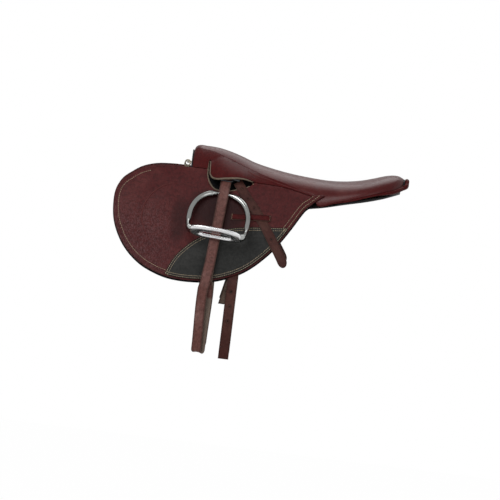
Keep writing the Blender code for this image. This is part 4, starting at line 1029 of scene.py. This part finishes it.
def hung_strap(name, side, n, end_z, lean, kick, hole_heights, finish):
    """Flat strap hanging from the rivet, its outer face at n, plumb below the flap.

    A kick is the slope at which its free end drifts to the front.
    """
    line = hanging_line(GIRTH_BEND_T, end_z, n)
    runs = lengths(line)

    def hang(u, v, depth):
        t, m = np.interp(v, runs, line[:, 0]), np.interp(v, runs, line[:, 1])
        turn = FLARE * min(max((v - GIRTH_BEND_T) / (runs[-2] - GIRTH_BEND_T), 0), 1)
        m += depth * math.cos(turn)
        t += depth * math.sin(turn)
        across_by = u * math.cos(lean) - (t - RIVET_T) * math.sin(lean) - kick * max(t - KICK_T, 0)
        down = RIVET_T + u * math.sin(lean) + (t - RIVET_T) * math.cos(lean)
        return on_slope(side, RIVET_X + across_by, down, m)

    half, top, corner = GIRTH_WIDTH / 2, RIVET_T - STRAP_TOP, STRAP_CORNER
    outline = even([(-half, runs[-1]), (half, runs[-1]), (half, top + corner), (half - corner, top),
                    (corner - half, top), (-half, top + corner)], 2.0, True)
    t, m = line[-2]
    first = runs[-2] + m * math.sin(FLARE) - t * math.cos(FLARE)
    holes = [punched((0, RIVET_T), RIVET_HOLE)] + [punched((0, first - z), GIRTH_HOLE) for z in hole_heights]
    return piece(name, finish, *cut_sheet(outline, hang, GIRTH_STRAP_THICK, 3.0, holes))


for side, tag in SIDES:
    girth = hung_strap("girth_leather_" + tag, side, GIRTH_N, GIRTH_END_Z, 0.0, 0.0, GIRTH_HOLES, strap)
    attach(girth, "girth_strap_" + tag)
    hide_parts("girth_strap_" + tag)
    short = hung_strap("short_leather_" + tag, side, SHORT_N, SHORT_END_Z, SHORT_LEAN, SHORT_KICK, (), flesh)
    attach(short, "short_strap_" + tag)
    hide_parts("short_strap_" + tag)

# Girth webs: flat linen web, woven in one width. It is nailed to the tree and runs down to the
# rivet of the girth straps.
WEB_THICK = 0.8
WEB_WIDTH = 34.0
WEB_T = (22.0, 84.0)
WEB_HOLE = 5.6
LINEN = (0.42, 0.36, 0.26, 1)
LINEN_DARK = (0.16, 0.13, 0.09, 1)


def woven(name, colour, dark):
    """Plain weave: crossed threads under a millimetre apart, with uneven yarn."""
    mat, shader, place = new_finish(name)
    warp, weft = [place.node("TexWave", {"bands_direction": axis},
                             {"Vector": place, "Scale": 180.0, "Distortion": 0.6}) for axis in ("X", "Z")]
    yarn = place.noise(90.0, 4.0)
    weave = warp * weft
    (1 - weave * 0.6 - yarn.between(0.35, 0.7) * 0.3).mix(colour, dark).feed(shader.inputs["Base Color"])
    (0.85 + 0.1 * yarn).feed(shader.inputs["Roughness"])
    weave.emboss(shader, 0.5, 0.0003)
    return mat


linen = woven("linen_web", LINEN, LINEN_DARK)
for side, tag in SIDES:
    band = oblong(RIVET_X - WEB_WIDTH / 2, RIVET_X + WEB_WIDTH / 2, *WEB_T, 3.0)
    sheet = cut_sheet(band, lambda x, t, n: on_slope(side, x, t, WEB_N + n), WEB_THICK, 5.0,
                      [punched((RIVET_X, RIVET_T), WEB_HOLE)])
    web = piece("girth_linen_" + tag, linen, *sheet)
    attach(web, "saddle")
    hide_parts("girth_web_" + tag)

# Stirrup leathers: one long strap each, looped over the steel bar and through the iron's crown.
# The loop hangs below the flap with a slight twist, its rough side inward.
BAR_X = -72.0
BAR_T = 2.0
BAR_N = 3.5
BAR_DIA = 6.5
STRAP_LEAN = math.radians(4.0)
STRAP_MID_N = 11.5
STRAP_HALF_GAP = 4.5
LOOP_HALF_GAP = 9.0
LOOP_TAPER = 4.0
LOOP_TWIST = math.radians(49.0)
LOOP_TURN = math.radians(16.0)
LOOP_OPEN_T = 194.0
LOOP_OPEN_RUN = 42.0
LOOP_FIRST_TURN = 0.4
LOOP_END_Z = -366.0
WRAP_RUN = 30.0
STRAP_BEND_T = 236.0
LEATHER_WIDTH = 22.0
LEATHER_THICK = 2.6
# The stirrup leather's grain side: painted lighter than the tail of the same strap, as painted sheen, with
# its rubbed wear.
STRAP_WITH_SHEEN = (0.12, 0.048, 0.040, 1)
STRAP_WITH_SHEEN_WORN = (0.25, 0.14, 0.125, 1)
FLESH_PALE = (0.20, 0.155, 0.13, 1)


def strap_axes(side):
    """Centre of the bar, and axes along the bar, down the strap and out from the flap."""
    level_of = on_slope(side, 1, 0, 0) - on_slope(side, 0, 0, 0)
    down = on_slope(side, 0, 1, 0) - on_slope(side, 0, 0, 0)
    out_of = on_slope(side, 0, 0, 1) - on_slope(side, 0, 0, 0)
    bar = level_of * math.cos(STRAP_LEAN) + down * math.sin(STRAP_LEAN)
    run = down * math.cos(STRAP_LEAN) - level_of * math.sin(STRAP_LEAN)
    return on_slope(side, BAR_X, BAR_T, 0), bar, run, out_of


def strands(t):
    """Distance out of the leather's mid line at t, and from there to each strand."""
    wrap = BAR_DIA / 2 + 0.25 + LEATHER_THICK / 2
    share = ease(t / WRAP_RUN)
    return BAR_N + (STRAP_MID_N - BAR_N) * share, wrap + (STRAP_HALF_GAP - wrap) * share


def leather_loop(side):
    """Centre line of the loop as points, each with its across direction."""
    centre, bar, run, out_of = strap_axes(side)
    wrap = strands(0)[1]
    loop = []
    for a in np.linspace(0, math.pi, 17):
        loop.append((centre - run * wrap * math.sin(a) + out_of * (BAR_N - wrap * math.cos(a)), bar))

    def strand(t, n, gap, share, lean):
        face = out_of * math.cos(lean) + run * math.sin(lean)
        twist, turn = LOOP_TWIST * share, LOOP_TURN * share
        plumb_by = bar * math.tan(STRAP_LEAN) * max(t - STRAP_BEND_T, 0)
        apart = (face * math.cos(twist) - bar * math.sin(twist)) * gap
        spot = centre + run * t + plumb_by + out_of * n + apart
        return spot, bar * math.cos(turn) + face * math.sin(turn)

    front = []
    for t in [*np.linspace(2, WRAP_RUN, 15), *np.linspace(WRAP_RUN + 6, STRAP_BEND_T - 4, 40)]:
        mid, gap = strands(t)
        front.append((t, mid, gap, LOOP_FIRST_TURN * ease((t - LOOP_OPEN_T) / LOOP_OPEN_RUN), 0.0))
    ending = hanging_line(STRAP_BEND_T, LOOP_END_Z + LOOP_HALF_GAP - LOOP_TAPER + 2, STRAP_MID_N)
    straight = [ending[-2] + (ending[-1] - ending[-2]) * s for s in np.linspace(0, 1, 25)[1:]]
    for k, (t, n) in enumerate([*ending[1:-1], *straight]):
        # 0 to 5 round the bend, and on to 9 at the loop's end
        coarse = k * 5 / BEND_STEPS if k <= BEND_STEPS else 5 + (k - BEND_STEPS) / 6
        gap = STRAP_HALF_GAP + (LOOP_HALF_GAP - STRAP_HALF_GAP) * ease(coarse / 6)
        gap -= LOOP_TAPER * ease((coarse - 5.5) / 3.5)
        share = LOOP_FIRST_TURN + (1 - LOOP_FIRST_TURN) * ease(coarse / 9)
        front.append((t, n, gap, share, FLARE * min(k / BEND_STEPS, 1)))
    loop += [strand(*p) for p in front]
    t, n, gap, share, lean = front[-1]
    fall = run * math.cos(lean) - out_of * math.sin(lean)
    middle, over = strand(t, n, 0, share, lean)
    reach = strand(t, n, gap, share, lean)[0] - middle
    for a in np.linspace(0, math.pi, 19)[1:-1]:
        loop.append((middle + reach * math.cos(a) + fall * gap * math.sin(a), over))
    return loop + [strand(t, n, -gap, share, lean) for t, n, gap, share, lean in reversed(front)]


def strap_section(half, thick):
    """Rounded section of a strap, as distances across it and out from its middle."""
    turns = np.linspace(-math.pi / 2, math.pi / 2, 7)
    end = [(half - thick / 2 + thick / 2 * math.cos(a), thick / 2 * math.sin(a)) for a in turns]
    flat = [(half * s, thick / 2) for s in (0.7, 0.35, 0, -0.35, -0.7)]
    return end + flat + [(-u, -w) for u, w in end] + [(-u, -w) for u, w in flat]


strap_with_sheen = leather("strap_leather_with_sheen", STRAP_WITH_SHEEN, STRAP_WITH_SHEEN_WORN, STRAP_DARK, STRAP_EDGE, 0.45, 1.1, 1.3,
                  crease=0.0030, rim_width=0.0030, flesh=(FLESH_WORN, FLESH_PALE))
for side, tag in SIDES:
    loop = leather_loop(side)
    section = strap_section(LEATHER_WIDTH / 2, LEATHER_THICK)
    rings, rim, inside = [], [], []
    for i, (p, over) in enumerate(loop):
        after = loop[(i + 1) % len(loop)][0]
        step = unit(after - loop[i - 1][0])
        over = unit(over - step * over.dot(step))
        face = np.cross(step, over)
        rings.append([p + over * u + face * w for u, w in section])
        inward = math.copysign(1.0, face.dot(loop[-1 - i][0] - p))
        inside += [1.0 if w * inward > 0.45 * LEATHER_THICK else 0.0 for _, w in section]
        for s in np.linspace(0, 1, 5)[:-1]:
            spot = p + (after - p) * s
            rim += [spot + over * LEATHER_WIDTH / 2, spot - over * LEATHER_WIDTH / 2]
    stirrup = piece("stirrup_strap_" + tag, strap_with_sheen, *loft(rings, True), rim)
    inner = stirrup.data.attributes.new("inner", "FLOAT", "POINT")
    inner.data.foreach_set("value", np.array(inside, np.float32))
    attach(stirrup, "leather_" + tag)
    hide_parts("stirrup_leather_" + tag)

# Stirrup irons: forged steel, the tread and crown bright, and the bow a darker copy of the same steel as
# painted shade.
# A round bow rises from the tread, which has an open slot, to a flat crown with an eye for the leather.
IRON_T = 39.5
IRON_TILT = math.radians(17.0)
IRON_HEIGHT = 104.0
IRON_HALF = 61.8
IRON_ROD = 11.8
IRON_FOOT = 24.0
FOOT_THICK = 8.4
FOOT_FROM = 0.72 * IRON_HEIGHT
SHOULDER = 0.62 * IRON_HEIGHT
CROWN_HALF = 15.1
CROWN_DEPTH = 10.2
CROWN_THICK = 3.6
CROWN_RUN = 8.0
CROWN_FLARE = 0.5
FLARE_FROM = 11.0
FLARE_RUN = 5.0
CROWN_SLOT = (25.0, 5.0)
TREAD_DEPTH = 38.0
TREAD_THICK = 7.0
TREAD_SLOT = (64.0, 10.4)
TREAD_SLOT_SHIFT = -3.3
IRON_RINGS = [((CROWN_SLOT[0] / 2, CROWN_SLOT[1] / 2, 0.35, 0.5), (CROWN_HALF, CROWN_DEPTH / 2, 0.4, 0.6),
               0.0, CROWN_THICK, 0.0),
              ((TREAD_SLOT[0] / 2, TREAD_SLOT[1] / 2, 0.45, 0.8), (IRON_HALF - 4, TREAD_DEPTH / 2, 0.55, 0.8),
               IRON_HEIGHT, TREAD_THICK, TREAD_SLOT_SHIFT)]
RING_WIRE = 0.25
STEEL = (0.70, 0.70, 0.71, 1)
# The bow's steel: a darker copy of the iron's steel, as painted shade.
SHADED_BOW_STEEL = (0.36, 0.37, 0.36, 1)


def polished(name, colour, shine=0.2):
    """Bright metal with fine hairline scratches, cloudy handling marks and a trace of tarnish."""
    mat, shader, place = new_finish(name)
    hair = place.stretched((60, 900, 900), (0.5, 0.3, 0.2)).noise(1.0, 5.0, Roughness=0.7)
    smear = place.noise(70.0, 4.0)
    dull = tuple(c * 0.55 for c in colour[:3]) + (1,)
    (smear.between(0.5, 0.72) * 0.3).mix(colour, dull).feed(shader.inputs["Base Color"])
    (shine + 0.06 * smear.between(0.45, 0.7) + 0.05 * hair).feed(shader.inputs["Roughness"])
    shader.inputs["Metallic"].default_value = 1.0
    hair.emboss(shader, 0.05, 0.0002)
    return mat


steel = polished("polished_steel", STEEL)
shaded_bow_steel = polished("shaded_bow_steel", SHADED_BOW_STEEL, 0.14)


def shaped(move, finish):
    """Puts every point of the new primitive where move says, and leaves it at the origin."""
    obj = bpy.context.object
    for v in obj.data.vertices:
        v.co = Vector(move(*v.co)) * MM
    obj.matrix_world = Matrix.Identity(4)
    close_up()
    obj.data.materials.append(finish)
    return obj


bow_line = [(CROWN_HALF * 0.8, 0.0), (CROWN_HALF, 0.0)]
bow_line += [(CROWN_HALF + (IRON_HALF - CROWN_HALF) * math.sin(a), SHOULDER * (1 - math.cos(a)))
             for a in np.linspace(0, math.pi / 2, 13)[1:]]
bow_line += [(IRON_HALF - d, IRON_HEIGHT - h) for d, h in ((0, 21.7), (0.6, 10.5), (3, 3.2), (9, 0))]
bow_line = even(spline(bow_line, 4), 1.6)
bow_runs = unit(np.gradient(bow_line, axis=0))


def superellipse(turn, half_u, half_v, power_u, power_v):
    """Point of a rounded oblong at a turn round its middle."""
    c, s = math.cos(turn), math.sin(turn)
    return math.copysign(abs(c) ** power_u, c) * half_u, math.copysign(abs(s) ** power_v, s) * half_v


for side, tag in SIDES:
    centre, bar, run, out_of = strap_axes(side)
    down = run * math.cos(IRON_TILT) + out_of * math.sin(IRON_TILT)
    depth = out_of * math.cos(IRON_TILT) - run * math.sin(IRON_TILT)
    crown = centre + run * IRON_T + out_of * (STRAP_MID_N - STRAP_HALF_GAP)
    made = []
    for hand in (-1, 1):
        bpy.ops.object.select_all(action="DESELECT")
        count = len(bow_line) - 1
        bpy.ops.mesh.primitive_grid_add(x_subdivisions=count, y_subdivisions=20, size=2)

        def limb(x, y, z):
            k = min(max(int(round((x + 1) / 2 * count)), 0), count)
            (u, w), (ru, rw) = bow_line[k], bow_runs[k]
            turn = math.pi * (y + 1)
            share = ease((u - CROWN_HALF) / CROWN_RUN)
            flare = max(share, CROWN_FLARE * ease((u - FLARE_FROM) / FLARE_RUN))
            low = ease((w - FOOT_FROM) / (IRON_HEIGHT - FOOT_FROM))
            wide = (CROWN_DEPTH + (IRON_ROD - CROWN_DEPTH) * share + (IRON_FOOT - IRON_ROD) * low) / 2
            thick = (CROWN_THICK + (IRON_ROD - CROWN_THICK) * flare + (FOOT_THICK - IRON_ROD) * low) / 2
            over_u, over_w = -rw * thick * math.cos(turn), ru * thick * math.cos(turn)
            return crown + bar * hand * (u + over_u) + down * (w + over_w) + depth * wide * math.sin(turn)

        made.append(shaped(limb, shaded_bow_steel))
    for hole, outer, height, thick, shift in IRON_RINGS:
        bpy.ops.object.select_all(action="DESELECT")
        bpy.ops.mesh.primitive_torus_add(major_segments=96, minor_segments=16, major_radius=1,
                                         minor_radius=RING_WIRE)

        def ring_of(x, y, z):
            turn = math.atan2(y, x)
            share, rise = superellipse(math.atan2(z, math.hypot(x, y) - 1), 1, 1, 0.85, 0.85)
            a = np.array(superellipse(turn, *hole)) + np.array([0, shift])
            b = np.array(superellipse(turn, *outer))
            u, v = (a + b) / 2 + (b - a) / 2 * share
            return crown + bar * u + depth * v + down * (height + thick / 2 * rise)

        made.append(shaped(ring_of, steel))
    bpy.ops.object.select_all(action="DESELECT")
    for limb_or_ring in made:
        limb_or_ring.select_set(True)
    bpy.context.view_layer.objects.active = made[0]
    bpy.ops.object.join()
    iron = bpy.context.object
    iron.name = "iron_steel_" + tag
    bpy.ops.object.shade_smooth()
    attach(iron, "iron_" + tag)
    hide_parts("stirrup_iron_" + tag)

# Panels: two long stuffed pads of black leather that lie either side of the horse's spine, each
# with a shallow sewn channel along its bearing face.
PANEL_SECTIONS = [
    (-142, (34, -16), (60, -32), (97, -104), (78, -114)),
    (-100, (29, -2), (58, -32), (97, -103), (76, -112)),
    (-40, (27, 4), (58, -33), (90, -88), (64, -96)),
    (40, (27, 6), (62, -33), (80, -66), (52, -64)),
    (100, (27, 2), (66, -34), (76, -46), (46, -37)),
    (132, (27, 0), (86, -36), (82, -39.5), (44, -26)),
    (180, (27, 3), (94, -22), (90, -26.5), (42, -15)),
    (230, (27, 9), (89, -8), (85, -13.5), (40, -4)),
    (262, (27, 17), (73, 1), (69, -3.5), (36, 5)),
    (282, (24, 19), (53, 8.5), (50, 5), (30, 10)),
    (294, (17, 17), (31, 13.5), (29, 11), (19, 12.5)),
]
PANEL_CROWN = 4.0
PANEL_CHANNEL = (2.0, 0.5, 0.05)
PANEL_MARKS = (0.08, 0.16, 0.27, 0.38, 0.46, 0.5, 0.54, 0.62, 0.73, 0.84, 0.92)
panel_hide = leather("panel_leather", BLACK, BLACK_WORN, BLACK_DARK, BLACK_EDGE, 0.42, 0.8, 1.2)


def panel_ring(x, side):
    """Cross-section of a panel: four sides between its corners, the lower one crowned and channelled."""
    a, b, c, d = [np.array([along([(s[0], s[k][axis]) for s in PANEL_SECTIONS], x) for axis in (0, 1)])
                  for k in range(1, 5)]
    swell = PANEL_CROWN * math.sin(math.pi * min((x + 150) / 40, 1) / 2)
    ring = []
    for p, q, push in ((a, b, 0), (b, c, 1.0), (c, d, swell), (d, a, 0.5)):
        normal = np.array([p[1] - q[1], q[0] - p[0]])
        normal = normal / max(np.linalg.norm(normal), 1e-6)
        for u in PANEL_MARKS:
            bow = push * (1 - (2 * u - 1) ** 2)
            if push == swell:
                bow -= hump(u, *PANEL_CHANNEL)
            y, z = p + (q - p) * u + normal * bow
            ring.append(np.array([x, side * y, z]))
    return ring


for side, tag in SIDES:
    rings = [panel_ring(x, side) for x in np.linspace(PANEL_SECTIONS[0][0], PANEL_SECTIONS[-1][0], 90)]
    head, end = np.mean(rings[0], axis=0), np.mean(rings[-1], axis=0)
    first = [[head + (p - head) * s + np.array([2 * (1 - s), 0, 0]) for p in rings[0]] for s in (0.4, 0.85)]
    last = [[end + (p - end) * s for p in rings[-1]] for s in (0.85, 0.4)]
    panel = piece("panel_pad_" + tag, panel_hide, *loft(first + rings + last))
    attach(panel, "saddle")
    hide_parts("panel_" + tag)

# Cantle bead: cord wrapped in oxblood leather, sewn in under the seat's edge and thickest round
# the back of the cantle. Between the two there, a black cord is painted shade in the gap.
ROLL_START_X = 122.0
ROLL_DIA = 4.4
ROLL_BACK_DIA = 10.0
ROLL_INSET = 1.5
ROLL_GAP = 0.4
ROLL_STAND = 2.6
ROLL_RISE = 9.5
ROLL_CORNER_Y = 22.0
ROLL_END_Y = 8.0
ROLL_DRIFT = 0.3
ROLL_FULL_X = 140.0
ROLL_FULL_RUN = 70.0
ROLL_SWELL_X = 240.0
ROLL_SWELL_RUN = 50.0
CANTLE_SHADE_RADIUS = 2.0
CANTLE_SHADE_DEPTH = 3.0
CANTLE_SHADE_BACK = 1.2
CANTLE_SHADE_REACH = 0.96
half_path = []
for x in np.linspace(ROLL_START_X, SEAT_END_X, 60):
    swollen = (ROLL_BACK_DIA - ROLL_DIA) * ease((x - ROLL_SWELL_X) / ROLL_SWELL_RUN)
    radius = (ROLL_DIA * (0.5 + 0.5 * ease((x - ROLL_FULL_X) / ROLL_FULL_RUN)) + swollen) / 2
    half_path.append((x, base_half(x) - ROLL_INSET, along(BASE_Z, x) - radius - ROLL_GAP, radius))
behind = SEAT_END_X + ROLL_BACK_DIA / 2 + ROLL_STAND
end_z = along(BASE_Z, SEAT_END_X)
last_x, last_y, last_z, _ = half_path[-1]
for s in np.linspace(0, 1, 8)[1:]:
    half_path.append((last_x + (behind - last_x) * math.sin(s * math.pi / 2),
                      last_y + (ROLL_CORNER_Y - last_y) * s,
                      last_z + (end_z - last_z) * s, ROLL_BACK_DIA / 2))
for s in np.linspace(0, 1, 8)[1:]:
    half_path.append((behind + ROLL_DRIFT * s, ROLL_CORNER_Y + (ROLL_END_Y - ROLL_CORNER_Y) * s,
                      end_z + ROLL_RISE * ease(s), ROLL_BACK_DIA / 2))
bead_path = [(x, -y, z, r) for x, y, z, r in half_path] + half_path[::-1]
rings = tube([p[:3] for p in bead_path], [p[3] for p in bead_path])
bead = piece("cantle_bead", oxblood, *loft(rings))
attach(bead, "saddle")
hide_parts("cantle_roll")
# A black cord behind the seat's end: painted shade in the gap between the seat and the bead.
welt = [p + np.array([CANTLE_SHADE_BACK, 0, 0])
        for p in arc(SEAT_END_X, across * CANTLE_SHADE_REACH * math.pi / 2, CANTLE_SHADE_DEPTH)]
cantle_gap_shade = piece("cantle_gap_shade", black, *loft(tube(welt, [CANTLE_SHADE_RADIUS] * len(welt))))
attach(cantle_gap_shade, "saddle")

# Head facing and gullet lining: black leather nailed over the front of the arch, and a thin
# black lining glued under the seat between the panels.
FACING_LEATHER = 3.0
FACING_INSET = 1.0
FACING_DEPTH = 18.0
LINING_TOP = 14.2
LINING = 1.4
LINING_X = (-103.0, 244.0)
LINING_REACH = 2 / 7
front_x = POMMEL_X - SKIRT_GAP
reach = angle_at(POMMEL_X, CHEEK_Z)
turns = np.linspace(-reach, reach, 49)
rings = [arc(x, turns, FACING_INSET) + arc(x, turns[::-1], FACING_INSET + FACING_DEPTH)
         for x in np.linspace(front_x - FACING_LEATHER, front_x, 4)]
facing = piece("facing_leather", black, *loft(rings), rounding=0.9)
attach(facing, "saddle")
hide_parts("head_facing")
rings = []
for x in np.linspace(*LINING_X, 60):
    turns = np.linspace(-1, 1, 17) * LINING_REACH * seat_edge(x)
    rings.append(arc(x, turns, LINING_TOP) + arc(x, turns[::-1], LINING_TOP + LINING))
lining = piece("lining_leather", black, *loft(rings))
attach(lining, "saddle")
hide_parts("gullet_lining")

# Tree and hardware: laminated beech with steel plates at the head, steel bars and buckles for
# the leathers, and brass rivets, staples and dees. These keep their CAD shapes.
BEECH = (0.45, 0.30, 0.16, 1)
BEECH_DARK = (0.25, 0.15, 0.075, 1)
BRASS = (0.29, 0.26, 0.20, 1)
FORGED = (0.075, 0.075, 0.08, 1)


def beech(name, colour, dark):
    """Beech with fine straight grain and short dark flecks."""
    mat, shader, place = new_finish(name)
    grain = place.stretched((20, 260, 260))
    line = grain.noise(1.0, 6.0, Roughness=0.65)
    fleck = grain.noise(3.0, 2.0).between(0.62, 0.7)
    (line.between(0.35, 0.7) * 0.7 + fleck * 0.3).mix(colour, dark).feed(shader.inputs["Base Color"])
    (0.6 + 0.15 * line).feed(shader.inputs["Roughness"])
    line.emboss(shader, 0.2, 0.0003)
    return mat


wood = beech("beech_wood", BEECH, BEECH_DARK)
brass = polished("worn_brass", BRASS, 0.34)
forged = polished("forged_steel", FORGED, 0.42)
fittings = [(wood, ["tree_head", "tree_cantle"], ["tree_bar"]),
            (forged, ["head_plate", "gullet_plate"], ["stirrup_bar", "buckle_frame"]),
            (brass, [], ["girth_rivet", "dee_staple", "front_dee"])]
for finish, single, paired in fittings:
    for name in single + [base + "_" + tag for base in paired for _, tag in SIDES]:
        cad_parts[name].material_slots[0].material = finish
